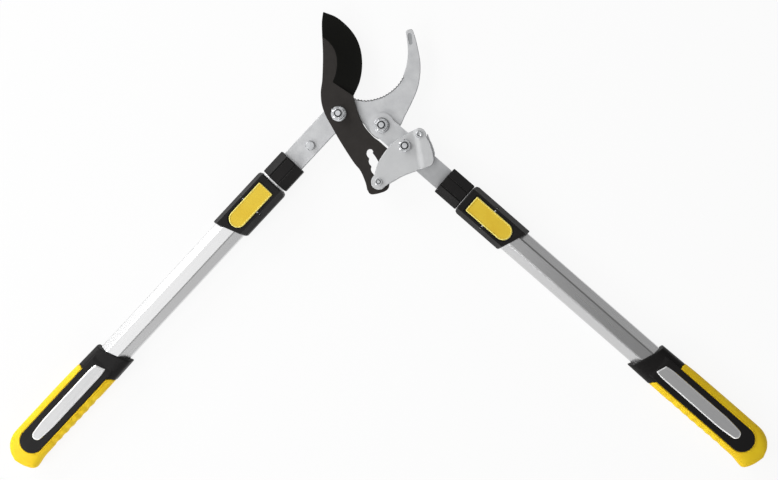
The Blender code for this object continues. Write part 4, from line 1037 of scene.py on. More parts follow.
@dataclass
class Head:
    """Hook, blade, link plates and right tang."""

    bench: Workbench
    hook_thickness: float = 5.0 * MM
    blade_low: float = 0.3 * MM
    blade_high: float = 4.8 * MM
    link_low: float = 5.1 * MM
    link_thickness: float = 3.0 * MM
    bore: float = 4.0 * MM + CLEARANCE
    pin_bore: float = 2.5 * MM + CLEARANCE
    rivet_bore: float = 2.0 * MM + CLEARANCE
    tooth_pitch: float = 3.6 * MM
    tooth_depth: float = 1.1 * MM
    tooth_form: tuple[float, ...] = (0.0, 0.55, 1.0, 0.9)
    tooth_soft: float = 2.3
    tang_half: float = 13.6
    tongue_half: float = 11.0
    sleeve_start: float = 77.8
    tang_rivets: tuple[float, float] = (17.0, 26.5)
    mark_depth: float = 0.4 * MM
    lever_turn: float = 67.6
    pin_turn: float = 42.7
    blade_turn: float = 48.5
    slot_lean: float = -74.4
    slot_pitch: float = 9.55 * MM
    slot_depth: float = 1.5 * MM
    slot_spread: float = 1.6 * MM
    slot_teeth: int = 3
    slot_end: float = 3.9 * MM
    slot_gap: float = 1.0 * MM
    edge_land: float = 0.5 * MM
    edge_rounding: float = 0.5 * MM
    rear_rounding: float = 0.35 * MM
    tang_rounding: float = 0.45 * MM
    pin_lobe: float = 9.1 * MM
    rivet_lobe: float = 7.4 * MM
    hollow: float = 1.25
    joggle: float = 0.8 * MM
    joggle_start: float = -1.5 * MM
    joggle_run: float = 7.0 * MM
    soft_run: float = 3.0 * MM

    def build(self) -> None:
        """Make every plate of the head."""
        bench = self.bench
        bench.piece(self.hook(), Part("hook_plate", "hook_frame", "bright_plate", (PLATE, SUNK_SHADE, THROAT_SHADE),
                                      ("hook",), 30))
        bench.piece(self.blade(), Part("blade_plate", "blade", "blade_coat", (COATING, BEVEL_SHADE),
                                       ("blade",), 12))
        bench.piece(self.front_link(), Part("front_ratchet_plate", "ratchet_link", "bright_plate",
                                            (LINK_PLATE,), ("link_plate_front",), 30))
        bench.refined(Part("rear_ratchet_plate", "ratchet_link", "bright_plate", (LINK_PLATE,),
                           ("link_plate_rear",), 28), self.rear_rounding)
        bench.refined(Part("right_tang_plate", "right_lever", "bright_plate", (PLATE,), ("right_tang",), 50),
                      self.tang_rounding)

    def on_left_bar(self, *places: tuple[float, float]) -> Points:
        """Give points along the left handle's middle line and to its outer side, in millimetres.

        Args:
            places: Distance along and to the outer side of each point.

        Returns:
            The points in metres.
        """
        along = direction(LEFT_ANGLE)
        outward = np.array([along[1], -along[0]])
        run = millimetres(*places)
        return run[:, :1] * along + (run[:, 1:] + LEFT_OFFSET) * outward

    def throat(self) -> Points:
        """Draw the serrated throat of the hook.

        Small saw teeth run along a smooth curve: each four points are moved inwards by the four shares of
        the tooth's form times its depth.

        Returns:
            The toothed line.
        """
        line = curve(millimetres((75.0, 44.4), (69.0, 34.8), (60.8, 27.0), (51.5, 21.2), (41, 17.7),
                                 (30.1, 16.4), (19.0, 18.2)))
        base = stepped(line, 4 * int(travelled(line)[-1] / self.tooth_pitch) + 1)
        depth = np.array(self.tooth_form)[np.arange(len(base)) % 4] * self.tooth_depth
        return base + leftward(base) * depth[:, None]

    def hook(self) -> Skin:
        """Shape the hook with its serrated throat, whose walls are painted dark as shade, its sunk tip mark
        and the bar to the left handle.

        Returns:
            The hook's surface.
        """
        outer = drawn((54, -30.2), (64, -24), (71.6, -13.6), (76.5, -3.2), (84.0, 11.5), (91.6, 29.5),
                      (94.6, 46.0), (94.7, 60.0), (92.6, 73.0), (89.6, 86.5), (86.2, 96.6))
        tip = curve(millimetres((86.2, 96.6), (84.6, 98.2), (79.2, 97.0), (78.1, 94.6)), 4)[1:-1]
        crescent = drawn((78.1, 94.6), (80.1, 80), (80.2, 66), (78.2, 54), (75.0, 44.4))[:-1]
        throat = self.throat()
        crown = drawn((19.0, 18.2), (8, 20.5), (-6, 17.5), (-13.5, 8.0))[1:]
        start, half, narrow = self.sleeve_start, self.tang_half, self.tongue_half
        bar = self.on_left_bar((8, half), (start + 6, half), (start + 10, narrow), (start + 60, narrow),
                               (start + 60, -narrow), (start + 10, -narrow), (start + 6, -half), (23, -half))
        belly = drawn((-2.4, -20.6), (8, -15.5), (20, -11.5), (27.4, -10.6), (34.4, -20.0), (43.5, -28.2),
                      (54, -30.2))[:-1]
        outline = np.vstack([outer, tip, crescent, throat, crown, bar, belly])
        holes = [circle(MAIN_PIVOT, self.bore), circle(LEVER_PIVOT, self.bore),
                 circle(STUD_PLACE, self.pin_bore)]
        holes += [circle(self.on_left_bar((start + place, 0))[0], self.rivet_bore, 48)
                  for place in self.tang_rivets]
        mark = np.vstack([arc((82.6 * MM, 91.0 * MM), 2.4 * MM, 0, 180, 14),
                          arc((83.8 * MM, 82.2 * MM), 1.9 * MM, 180, 360, 14)])
        before = len(outer) + len(tip) + len(crescent)
        soft = np.ones(len(outline))
        soft[before + 2:before + len(throat) - 2] = self.tooth_soft
        # floor_mark paints the mark's floor with the second finish, painted shade in the recess.
        plate = Plate(outline, -self.hook_thickness, 0.0, holes=holes, sunk=[(mark, self.mark_depth)],
                      soft=soft, floor_mark=1)
        skin = plate.skin()
        # The throat's wall and upper rounding take the third finish: painted shade of the notch walls.
        for row in range(plate.steps + 1, 2 * plate.steps + 2):
            skin.repaint(row * len(outline) + before, len(throat) - 1, 2)
        return skin

    def slot(self) -> Points:
        """Draw the ratchet slot: rounded teeth on the left, and on the right a wall clear of the pin's track.

        The track is the pin's place on the blade while the lever turns: the link's pivot turns about the
        lever's, the pin about the link's pivot, and both are turned back by the blade's own angle.

        Returns:
            The slot's outline.
        """
        track = []
        for part in np.linspace(0, 1, 25):
            pivot = turned(LINK_PIVOT, part * self.lever_turn, LEVER_PIVOT)
            arm = turned(RATCHET_PIN - LINK_PIVOT, part * self.pin_turn)
            track.append(turned(pivot + arm, -part * self.blade_turn))
        track = np.array(track)
        spread = self.slot_spread * np.linspace(0, 1, len(track)) ** 3
        wall = track - (self.pin_bore + spread)[:, None] * leftward(track)
        lean = direction(self.slot_lean)
        into = np.array([-lean[1], lean[0]])
        first = millimetres((32.3, -47.5))[0]
        teeth = np.array([first + (k + a) * self.slot_pitch * lean + b * self.slot_depth * into
                          for k in range(self.slot_teeth)
                          for a, b in ((-0.20, 0.25), (0.0, 0.0), (0.25, 0.2), (0.55, 1.0))])
        back = track[0] - track[1]
        seat_angle = math.degrees(math.atan2(back[1], back[0]))
        seat = arc(track[0], self.pin_bore, seat_angle - 80, seat_angle + 80, 25)
        crown = arc((36.3 * MM, -45.2 * MM), self.slot_end, 10, 185, 25)
        keep = wall[1:][(wall[1:] - crown[0]) @ lean > self.slot_gap]
        return np.vstack([curve(teeth, 8), seat, keep, crown])

    def blade(self) -> Skin:
        """Shape the blade: a flat body, and a hollow ground bevel that ends in a heel wall.

        The bevel is a grid between the cutting edge and its border line on the body. Its height rises from
        the edge land to the body's face with the share of the way across raised to a power, and near the
        tip the grid is pulled onto the spine.

        Returns:
            The blade's surface.
        """
        cutting = stepped(curve(millimetres((17.0, 21.4), (23.5, 35.7), (26.6, 50), (26.9, 64), (24.6, 77.5),
                                            (19.4, 90), (10.3, 101.8), (-2.8, 112.9), (-18.2, 119.4))), 90)
        spine = stepped(curve(millimetres((-18.2, 119.4), (-18.9, 118.2), (-20.1, 106.4), (-19.4, 89.9))), 25)
        back = drawn((-19.4, 89.9), (-18.6, 66.9), (-19.4, 40.6), (-21.2, 25.9), (-20.2, 12), (-15.9, -1.0),
                     (-8, -15.6), (2.4, -33.6), (17, -56.3), (25.2, -66.6), (30.9, -79.6), (33.1, -88.6))
        foot = drawn((33.1, -88.6), (36.3, -93.4), (41.5, -93.9), (52.0, -91.2), (57.6, -87.2), (59.2, -80.5))
        side = drawn((59.2, -80.5), (62.4, -68.0), (62.0, -54.0), (57.6, -43.0))
        shoulder = drawn((56.9, -41.0), (47.5, -32.6), (39.6, -26.4), (30.1, -15.2), (23.5, -2.1),
                         (18.9, 12.4), (17.0, 20.6))
        rest = np.vstack([back[:-1], foot[:-1], side, shoulder])
        border = curve(millimetres((-19.4, 89.9), (-11.5, 83.6), (-4.9, 74.2), (-2.0, 61.5), (-3.4, 47.6),
                                   (-7.2, 36.8)))
        border = stepped(border[::-1], len(cutting))
        t = np.linspace(0, 1, len(spine))[:, None, None]
        ground = cutting * (1 - t) + border * t
        pull = np.linspace(0, 1, len(cutting))[:, None] ** 5
        ground = ground + pull * (spine - ground[:, -1])[:, None]
        rise = (self.blade_high - self.blade_low - self.edge_land) * t[:, 0, 0] ** self.hollow
        level = self.blade_low + self.edge_land + rise
        outline = np.vstack([cutting, spine[1:-1], rest])
        top = np.concatenate([np.full(len(cutting), level[0]), level[1:-1],
                              np.full(len(rest), self.blade_high)])
        run = travelled(rest)
        fade = share_of(np.minimum(run, run[-1] - run), 0, self.soft_run)
        soft = np.concatenate([np.zeros(len(cutting) + len(spine) - 2), fade])
        plate = Plate(outline, self.blade_low, self.blade_high, self.edge_rounding,
                      [circle(MAIN_PIVOT, self.bore), self.slot()], steps=9, spacing=3.5 * MM)
        skin = Skin()
        under, (upper, count) = plate.side(skin, outline, plate.rounding, 1.0, soft, top)
        above = skin.points[upper + count - len(rest):upper + count, :2]
        holes = plate.bores(skin)
        heel = stepped(np.array([rest[-1], border[0]]), len(level))
        loop = np.vstack([above, heel[1:], border[1:-1]])
        start = skin.add(np.column_stack([loop, np.full(len(loop), self.blade_high)]))
        skin.cap([under] + [low for low, _ in holes], False, 6 * MM)
        skin.cap([(start, len(loop))] + [high for _, high in holes], True, plate.spacing)
        # The bevel takes the second finish: the coating painted darker as shade.
        skin.mark = 1
        lift = np.broadcast_to(level[:, None, None], (len(level), len(cutting), 1))
        skin.grid(np.concatenate([ground, lift], axis=2), np.linspace(0.9, 0.0, len(level)) ** 4, ring=False)
        lower = np.column_stack([ground[:, 0], level])
        skin.grid(np.stack([lower, np.column_stack([heel, np.full(len(heel), self.blade_high)])]), ring=False)
        return skin

    def front_link(self) -> Skin:
        """Shape the front link plate, whose outer end is joggled upwards beyond a crease.

        Returns:
            The plate's surface.
        """
        lobe = arc(RATCHET_PIN, self.pin_lobe, 128, 300, 30)
        bottom = drawn((54.5, -84.8), (60.5, -81.0), (72.6, -74.0), (82, -70.0), (97.0, -65.0),
                       (105.3, -62.2), (109.7, -59.0), (111.2, -53.3))[1:]
        right = millimetres((110.0, -46.3), (108.6, -41.0), (105.6, -33.0))
        crown = arc(SPACER_RIVET, self.rivet_lobe, -8, 118, 26)
        back = drawn((89.5, -18.9), (81.2, -23.0), (69.5, -29.8), (59.3, -38.5), (52.2, -47.2), (46.0, -57.5),
                     (42.9, -66.8))[1:]
        holes = [circle(LINK_PIVOT, self.bore), circle(RATCHET_PIN, self.pin_bore),
                 circle(SPACER_RIVET, self.rivet_bore)]
        plate = Plate(np.vstack([lobe, bottom, right, crown, back]), self.link_low,
                      self.link_low + self.link_thickness, self.edge_rounding, holes,
                      spacing=1.5 * MM)
        return plate.skin().warp(self.joggled)

    def joggled(self, points: Points) -> Points:
        """Lift the points beyond a crease, softly over the bend's width along the crease's normal.

        Args:
            points: The plate's points.

        Returns:
            The lifted points.
        """
        beyond = (points[:, :2] - millimetres((89.3, -30.0))) @ np.array([0.985, 0.172])
        points = points.copy()
        points[:, 2] += self.joggle * eased(beyond, self.joggle_start, self.joggle_run)
        return points


# Bolts and nuts


@dataclass(frozen=True)
class Joint:
    """A bolt and its nut. Turn is the direction of a flat in degrees, and flats the width across them."""

    name: str
    centre: Points
    body: str
    turn: float
    radius: float = 4.0 * MM
    flats: float = 13.0 * MM
    head_low: float = -10.6 * MM
    head_high: float = -5.3 * MM
    nut_low: float = 6.9 * MM
    nut_high: float = 13.7 * MM
    tip: float = 15.0 * MM


@dataclass
class Fasteners:
    """Bolts, nuts, washers, rivet and stop stud of the head."""

    bench: Workbench
    count: int = 96
    pitch: float = 0.25
    thread_turns: float = 4.5
    thread_rings: int = 46
    thread_depth: float = 0.07
    head_dish: float = 0.25 * MM
    head_edge: float = 0.1 * MM
    head_land: float = 0.3 * MM
    washer_low: float = 5.1 * MM
    washer_high: float = 6.6 * MM
    washer_radius: float = 9.2 * MM
    washer_rim: float = 0.4 * MM
    joints: tuple[Joint, ...] = (
        Joint("pivot", MAIN_PIVOT, "hook_frame", 8.0),
        Joint("lever", LEVER_PIVOT, "hook_frame", 21.0),
        Joint("link", LINK_PIVOT, "right_lever", 2.0, head_low=-8.6 * MM, head_high=-3.3 * MM,
              nut_low=8.4 * MM, nut_high=15.2 * MM, tip=16.5 * MM),
        Joint("ratchet", RATCHET_PIN, "ratchet_link", 12.0, 2.5 * MM, 8.0 * MM, -7.3 * MM, -3.3 * MM,
              8.4 * MM, 12.4 * MM, 13.2 * MM))

    def build(self) -> None:
        """Make every fastener."""
        for joint in self.joints:
            self.bolt(joint)
        for joint in self.joints:
            self.nut(joint)
        for joint in self.joints[:2]:
            self.washer(joint)
        stud = rounded_profile((0.2, -6.9), (3.8, -6.9), (4.6, -5.9), (4.6, -5.3), (2.5, -5.3), (2.5, 0.3),
                               (5.6, 0.3), (5.6, 3.0), (5.0, 3.7), (0.2, 3.8), radius=0.35 * MM)
        rivet = rounded_profile((0.2, -6.9), (3.4, -6.9), (4.2, -5.1), (4.2, -3.3), (2.0, -3.3), (2.0, 0.3),
                                (3.8, 0.3), (3.8, 4.8), (2.0, 4.8), (2.0, 9.2), (4.2, 9.2), (4.2, 10.2),
                                (3.5, 11.0), (2.1, 11.0), (1.7, 10.3), (0.2, 10.3), radius=0.4 * MM)
        self.bench.piece(sweep(lathe(stud, STUD_PLACE)),
                         Part("round_stop_stud", "hook_frame", "zinc", (ZINC,), ("stop_stud",), 40))
        self.bench.piece(sweep(lathe(rivet, SPACER_RIVET)),
                         Part("plate_spacer_rivet", "ratchet_link", "zinc", (ZINC,), ("link_rivet",), 40))

    def hexagon(self, joint: Joint) -> tuple[Points, Points]:
        """Give a hexagon's radius at each angle, with slightly round corners, and how far it is chamfered.

        The radius is half the flats over the cosine of the angle to the nearest flat, and at most 0.985 of
        the way to the corner. The chamfer falls by the tangent of 30 degrees for each unit outside the flats.

        Args:
            joint: The joint.

        Returns:
            Radius and fall at each angle.
        """
        a = np.arange(self.count) * 2 * math.pi / self.count - math.radians(joint.turn)
        radius = joint.flats / 2 / np.cos((a + math.pi / 6) % (math.pi / 3) - math.pi / 6)
        radius = np.minimum(radius, 0.985 * joint.flats / math.sqrt(3))
        return radius, (radius - joint.flats / 2) * math.tan(math.radians(30))

    def nut(self, joint: Joint) -> None:
        """Make a locking nut: a chamfered hexagon below and a round collar with a grip ring above.

        Args:
            joint: The joint that it holds.
        """
        flats, bore, low, high = joint.flats, joint.radius + CLEARANCE, joint.nut_low, joint.nut_high
        hexagon, fall = self.hexagon(joint)
        shoulder = low + 0.68 * (high - low)
        collar, lip, edge = 0.43 * flats, 0.035 * flats, 0.012 * flats
        rows = [(bore, low + edge), (bore + edge, low), (np.minimum(hexagon, flats / 2), low),
                (hexagon, low + fall), (hexagon, shoulder - fall - edge),
                (hexagon - edge * 0.7, shoulder - fall * 0.9 - edge * 0.2), (0.492 * flats, shoulder),
                (collar + edge, shoulder), (collar, shoulder + edge), (collar, high - 2.2 * lip)]
        rows += [(collar - 2.0 * lip * (1 - math.cos(s)), high - 2.2 * lip * (1 - math.sin(s)))
                 for s in np.linspace(0.2, 1, 5) * math.pi / 2]
        rows += [(bore + 1.6 * lip, high), (bore + 1.3 * lip, high - 0.5 * lip),
                 (bore + 1.2 * lip, high - 1.6 * lip), (bore, high - 1.9 * lip)]
        skin = sweep(lathe(rows, joint.centre, self.count), closed=True)
        skin.repaint((len(rows) - 4) * self.count, 3 * self.count, 1)
        self.bench.piece(skin, Part(f"{joint.name}_lock_nut", joint.body, "zinc", (ZINC, DARK_STEEL),
                                    (f"{joint.name}_nut",), 24))

    def bolt(self, joint: Joint) -> None:
        """Make a bolt with a hexagon head below and a thread that shows above its nut.

        The thread's radius is the bolt's less 0.07 of it times a triangle wave of height over pitch less
        the turn round the axis. The wave comes in over the first pitch.

        Args:
            joint: The joint that it holds.
        """
        flats, radius, low, high, tip = joint.flats, joint.radius, joint.head_low, joint.head_high, joint.tip
        hexagon, fall = self.hexagon(joint)
        dish, edge = self.head_dish, self.head_edge
        rows = [(0.3 * flats, low + dish), (0.40 * flats, low + dish), (0.43 * flats, low),
                (0.485 * flats, low), (hexagon - edge, low + fall + edge),
                (hexagon, low + fall + self.head_land), (hexagon, high - edge), (hexagon - edge, high),
                (radius, high)]
        pitch, end = self.pitch * radius, tip - 0.28 * radius
        start = end - self.thread_turns * pitch
        a = np.arange(self.count) / self.count
        for z in np.linspace(start, end, self.thread_rings):
            wave = 2 * np.abs((z / pitch - a) % 1 - 0.5)
            rows.append((radius * (1 - self.thread_depth * min(1.0, (z - start) / pitch) * wave), z))
        rows += [(0.78 * radius, tip - 0.04 * radius), (0.74 * radius, tip), (0.5 * radius, tip)]
        skin = sweep(lathe(rows, joint.centre, self.count))
        skin.repaint((len(rows) - 3 - self.thread_rings) * self.count, self.thread_rings * self.count, 1)
        self.bench.piece(skin, Part(f"{joint.name}_hex_bolt", joint.body, "zinc", (ZINC, DARK_STEEL),
                                    (f"{joint.name}_bolt",), 24))

    def washer(self, joint: Joint) -> None:
        """Make a flat washer with rounded rims.

        Args:
            joint: The joint that it holds.
        """
        low, high, edge = self.washer_low, self.washer_high, self.washer_rim
        inner, outer = joint.radius + CLEARANCE, self.washer_radius
        turns = [(edge * (1 - math.sin(s)), (high - low) * (1 - math.cos(s)) / 2)
                 for s in np.linspace(0, math.pi, 9)]
        rows = [(outer - into, low + up) for into, up in turns]
        rows += [(inner + into, high - up) for into, up in turns]
        self.bench.piece(sweep(lathe(rows, joint.centre, self.count), closed=True),
                         Part(f"{joint.name}_flat_washer", "hook_frame", "zinc", (ZINC,),
                              (f"{joint.name}_washer",), 40))


# Handles


class Side(Enum):
    """The two handles."""

    LEFT = "left"
    RIGHT = "right"


@dataclass
class Handle:
    """One telescopic handle: sleeve, tubes, collar with its rocker, and grip."""

    bench: Workbench
    side: Side
    middle_drop: float = 2.5 * MM
    tube_half_width: float = 17.0 * MM
    tube_half_height: float = 11.0 * MM
    tube_half_flat: float = 7.0 * MM
    tube_half_side: float = 3.0 * MM
    tube_wall: float = 1.2 * MM
    tube_corner: float = 1.3 * MM
    tube_shown: float = 199.4 * MM
    tube_in_collar: float = 70.4 * MM
    tube_in_grip: float = 140.0 * MM
    sleeve_length: float = 31.5 * MM
    collar_length: float = 74.7 * MM
    collar_slant: float = 0.366 * 20 * MM
    rocker_start: float = 9.5 * MM
    rocker_length: float = 59.0 * MM
    rocker_width: float = 21.0 * MM
    rocker_top: float = 16.3 * MM
    rocker_floor: float = 11.4 * MM
    rocker_lift: float = 2.6 * MM
    rocker_corner: float = 1.2 * MM
    rocker_rounding: float = 0.9 * MM
    rocker_wall: float = 1.6 * MM
    rocker_ceiling: float = 15.25 * MM
    pin_place: float = 27.0 * MM
    pin_slot_half: float = 1.8 * MM
    pin_slot_top: float = 15.15 * MM
    pin_slot_inner: float = 10.4 * MM
    rocker_tip: float = 2.2 * MM
    rocker_tip_run: float = 40.3 * MM
    rocker_margin: float = 1.9 * MM
    rocker_sink: float = 0.35 * MM
    peg_place: float = 7.0 * MM
    peg_rounding: float = 0.6 * MM
    grip_slant: float = 15.6 * MM
    grip_clearance: float = 0.4 * MM
    mouth_half: float = 21.7 * MM
    mouth_height: float = 12.8 * MM
    mouth_cut: float = 0.3
    mouth_lip: tuple[tuple[float, float], ...] = ((0.25, 5.0), (0.25, 0.8), (0.5, 0.3))
    head_power: float = 4.0
    head_flare: float = 0.6 * MM
    head_rounding: float = 1.2 * MM
    border_gap: float = 0.6 * MM
    border_rounding: float = 0.7 * MM
    border_sweep: float = 1.5 * MM
    border_cut: float = 2.5 * MM
    corner_start: float = 19.0 * MM
    corner_run: float = 4.0 * MM
    cover_start: float = 33.6 * MM
    cover_half: float = 24.0 * MM
    cover_inner_half: float = 22.5 * MM
    cover_dome: float = 160.0 * MM
    cover_fall: float = 150.0 * MM
    grip_end: float = 185.5 * MM
    strip_half: float = 14.6 * MM
    strip_end: float = 167.0 * MM
    strip_run_in: float = 8.0 * MM
    strip_rounding: float = 0.9 * MM
    strip_foot: float = 8.0 * MM
    strip_face: float = 11.0 * MM
    strip_rise: float = 0.9 * MM
    strip_rise_run: float = 7.0 * MM
    bead_radius: float = 0.85 * MM
    bead_height: float = 11.75 * MM
    back_plane: float = 13.5 * MM
    badge_start: float = 31.7 * MM
    badge_far: float = 143.0 * MM
    badge_proud: float = 0.9 * MM
    badge_height: float = 1.4 * MM
    badge_rounding: float = 0.2 * MM
    badge_facet: tuple[float, float] = (1.25 * MM, 0.6 * MM)
    ripple_start: float = 62.0 * MM
    ripple_pitch: float = 11.4 * MM
    ripples: int = 7
    ripple_depth: float = 0.7 * MM
    ripple_top: float = 0.8 * MM
    shoulder_start: float = 14.5 * MM
    shoulder_run: float = 4.0 * MM
    outer_margin: float = 0.3 * MM
    inner_margin: float = 0.22 * MM
    cover_power: float = 3.4
    cover_rounding: float = 1.1 * MM
    border_fade: float = 24.0 * MM
    bead_out: float = 1.15 * MM
    bead_gap: float = 0.7 * MM
    bore_gap: float = 0.5 * MM
    end_gap: float = 0.1 * MM

    def __post_init__(self) -> None:
        """Set out the handle's directions and the places of its parts along it."""
        left = self.side is Side.LEFT
        self.angle = LEFT_ANGLE if left else RIGHT_ANGLE
        self.along = direction(self.angle)
        outward = np.array([-self.along[1], self.along[0]])
        self.outward = -outward if left else outward
        self.base = LEFT_OFFSET * self.outward if left else LEVER_PIVOT
        sleeve, gap = (77.8 * MM, 2.4 * MM) if left else (96.4 * MM, 0.9 * MM)
        self.collar = sleeve + self.sleeve_length + gap
        self.grip = self.collar + self.collar_length + self.collar_slant + self.tube_shown - self.grip_slant

    def build(self) -> None:
        """Make every piece of the handle: those refined from their nodes, and then those shaped anew."""
        side, slider = self.side.value, f"{self.side.value}_handle"
        carrier = "hook_frame" if self.side is Side.LEFT else "right_lever"
        for node, name, slot, finish, width, sharp, body in (
                ("tang_sleeve", "black_sleeve", "black_plastic", BLACK, 0.6 * MM, 28, carrier),
                ("inner_tube", "inner_rail", "tube_aluminium", ALUMINIUM, 0.8 * MM, 30, carrier),
                ("tube_bush", "rail_bush", "black_plastic", BLACK, 0.3 * MM, 28, carrier),
                ("collar", "lock_collar", "black_plastic", BLACK, 0.7 * MM, 28, slider),
                ("lock_pin", "hinge_pin", "zinc", SPRING, 0.25 * MM, 50, slider)):
            self.bench.refined(Part(f"{side}_{name}", body, slot, (finish,), (f"{side}_{node}",), sharp,
                                    self.angle), width)
        for skin, start, node, name, slot, finish, sharp, body in (
                (self.outer_tube(), 0.0, "outer_tube", "outer_rail", "tube_aluminium", ALUMINIUM, 40, slider),
                (self.rocker(), self.collar + self.rocker_start, "lock_lever", "lock_rocker",
                 "yellow_plastic", YELLOW, 40, f"{side}_lock"),
                (self.grip_head(), self.grip, "grip_core", "grip_head", "black_plastic", BLACK, 50, slider),
                (self.strip(), self.grip, "", "grip_strip", "black_plastic", BLACK, 40, slider),
                (self.rubber(), self.grip, "grip_cover", "grip_rubber", "yellow_rubber", RUBBER, 60, slider),
                (self.badge(), self.grip, "grip_inlay", "grip_badge", "inlay_silver", SILVER, 20, slider)):
            skin.points = self.place(skin.points + [start, 0, 0])
            nodes = (f"{side}_{node}",) if node else ()
            self.bench.piece(skin, Part(f"{side}_{name}", body, slot, (finish,), nodes, sharp, self.angle))

    def place(self, points: Points) -> Points:
        """Carry points from the handle's own directions to those of the head."""
        flat = self.base + points[:, :1] * self.along + points[:, 1:2] * self.outward
        return np.column_stack([flat, points[:, 2] - self.middle_drop])

    def octagon(self) -> Points:
        """Give the corners of the faceted tube across and up, anticlockwise."""
        w, h, f, s = self.tube_half_width, self.tube_half_height, self.tube_half_flat, self.tube_half_side
        return np.array([(w, -s), (w, s), (f, h), (-f, h), (-w, s), (-w, -s), (-f, -h), (f, -h)])

    def on_facets(self, across: Points, up: Points, grow: float) -> Points:
        """Scale points onto the faceted tube, grown by a distance.

        In the direction u of a point, the tube's wall lies at the least of d over n·u, where n and d are the
        normal and the distance of each facet that faces that way.

        Args:
            across: Places across.
            up: Heights.
            grow: Distance outside the tube.

        Returns:
            Places across and up of the points on the tube.
        """
        corners = self.octagon()
        edge = np.roll(corners, -1, axis=0) - corners
        normal = np.stack([edge[:, 1], -edge[:, 0]], axis=1) / np.linalg.norm(edge, axis=1)[:, None]
        distance = np.sum(normal * corners, axis=1) + grow
        ray = np.stack([across, up], axis=1)
        ray /= np.linalg.norm(ray, axis=1)[:, None]
        facing = ray @ normal.T
        reach = np.where(facing > 1e-6, distance / np.maximum(facing, 1e-6), np.inf).min(axis=1)
        return ray * reach[:, None]

    def outer_tube(self) -> Skin:
        """Shape the outer tube: a faceted section with rounded corners, and the bore inside it.

        Returns:
            The tube's surface.
        """
        outer = fair(self.octagon(), self.tube_corner)
        inner = inset(outer, self.tube_wall)
        start, end = self.collar + self.collar_length - self.tube_in_collar, self.grip + self.tube_in_grip
        return sweep(np.stack([np.column_stack([np.full(len(loop), x), loop]) for loop, x in (
            (inner, start), (outer, start), (outer, end), (inner, end))]), closed=True)

    def rocker_plan(self) -> Points:
        """Draw the rocker from above: a square end with small corners, and a half round one.

        Returns:
            The outline, anticlockwise.
        """
        half, corner = self.rocker_width / 2, self.rocker_corner
        far = self.rocker_length - half
        run = np.linspace(corner, far, 140)[1:-1]
        lower = np.column_stack([run, np.full(len(run), -half)])
        return np.vstack([arc((corner, half - corner), corner, 90, 180, 6),
                          arc((corner, corner - half), corner, 180, 270, 6), lower,
                          arc((far, 0), half, -90, 90, 40), (lower * [1, -1])[::-1]])

    def rocker(self) -> Skin:
        """Shape the rocker: a moulded shell with a rounded rim round its slightly sunk top, and its peg.

        The lower edge rises beyond the pin, so that the round end can tip down, and has a slot for the pin.

        Returns:
            The surface of the rocker and its peg, from the rocker's start.
        """
        plan = self.rocker_plan()
        beyond = share_of(plan[:, 0], self.pin_place + self.rocker_tip, self.rocker_tip_run)
        low = self.rocker_floor + self.rocker_lift * beyond
        notch = np.abs(plan[:, 0] - self.pin_place) < self.pin_slot_half
        low = np.where(notch & (np.abs(plan[:, 1]) > self.pin_slot_inner), self.pin_slot_top, low)
        ceiling = inset(plan, self.rocker_wall)
        rows = [np.column_stack([ceiling, np.full(len(plan), self.rocker_ceiling)]),
                np.column_stack([ceiling, low]), np.column_stack([plan, low])]
        rows += [np.column_stack([inset(plan, into), np.full(len(plan), self.rocker_top - fall)])
                 for fall, into in zip(*quarter(self.rocker_rounding, 7))]
        skin = Skin()
        # Rising edge values on the rim rows let the finish paint a pale highlight on the rounded rim.
        first = skin.grid(np.stack(rows), np.concatenate([[0, 0, 0.3], np.linspace(0.4, 1.0, 7)]))
        flat = Plate(plan, self.rocker_floor, self.rocker_top, hole_rounding=0.25 * MM, spacing=2.5 * MM)
        rim = flat.sink(skin, inset(plan, self.rocker_margin), self.rocker_sink)
        skin.cap([(first + (len(rows) - 1) * len(plan), len(plan)), rim], True, flat.spacing)
        skin.cap([(first, len(plan))], False, 4 * MM)
        peg = rounded_profile((0.2, 9.1), (3.2, 9.1), (3.2, 15.6), (0.2, 15.6), radius=self.peg_rounding)
        return skin.plus(sweep(lathe(peg, (self.peg_place, 0.0), 40)))

    def slanted(self, across: Points) -> Points:
        """Give how far back a slanted cut lies at places across the grip."""
        return self.grip_slant / 2 + self.grip_slant / (2 * self.mouth_half) * across

    def border(self, across: Points) -> Points:
        """Give where the head part ends along the grip: slanted, with the cover's corners cut back.

        Args:
            across: Places across the grip.

        Returns:
            Places along the grip.
        """
        share = np.minimum(np.abs(across) / self.mouth_half, 1.0)
        return (self.cover_start + self.slanted(across) - self.border_sweep * (1 - share**2)
                + self.border_cut * eased(-np.abs(across), -self.corner_start, self.corner_run))

    def mouth(self, across: Points, up: Points, step: float) -> Points:
        """Give a ring on the head's mouth, which is slanted and lies further back where it is taller."""
        return np.stack([self.slanted(across) + self.mouth_cut * np.abs(up) + step, across, up], axis=1)

    def grip_head(self) -> Skin:
        """Shape the black head part of the grip, a thick collar round the tube up to the border.

        Returns:
            The closed surface, from the grip's start.
        """
        u, v = superellipse(144, self.head_power)
        half, height = self.mouth_half, self.mouth_height
        rows = [self.mouth(*self.on_facets(half * u, height * v, grow).T, step)
                for grow, step in millimetres(*self.mouth_lip).tolist()]
        rows += [self.mouth((half - s) * u, (height - s) * v, step)
                 for s, step in zip(*quarter(self.head_rounding, 6))]
        start = rows[-1][:, 0]
        for share in np.linspace(0, 1, 14)[1:]:
            across, up = (half + self.head_flare * share) * u, height * v
            end = self.border(across) - self.border_gap - self.border_rounding
            rows.append(np.stack([start * (1 - share) + end * share, across, up], axis=1))
        for short, into in list(zip(*quarter(self.border_rounding, 5)))[1:]:
            across, up = (half + self.head_flare - into) * u, (height - into) * v
            rows.append(np.stack([self.border(across) - self.border_gap - short, across, up], axis=1))
        across, up = self.on_facets(half * u, height * v, self.grip_clearance).T
        rows.append(np.stack([self.border(across) - self.border_gap, across, up], axis=1))
        return sweep(np.stack(rows), closed=True)

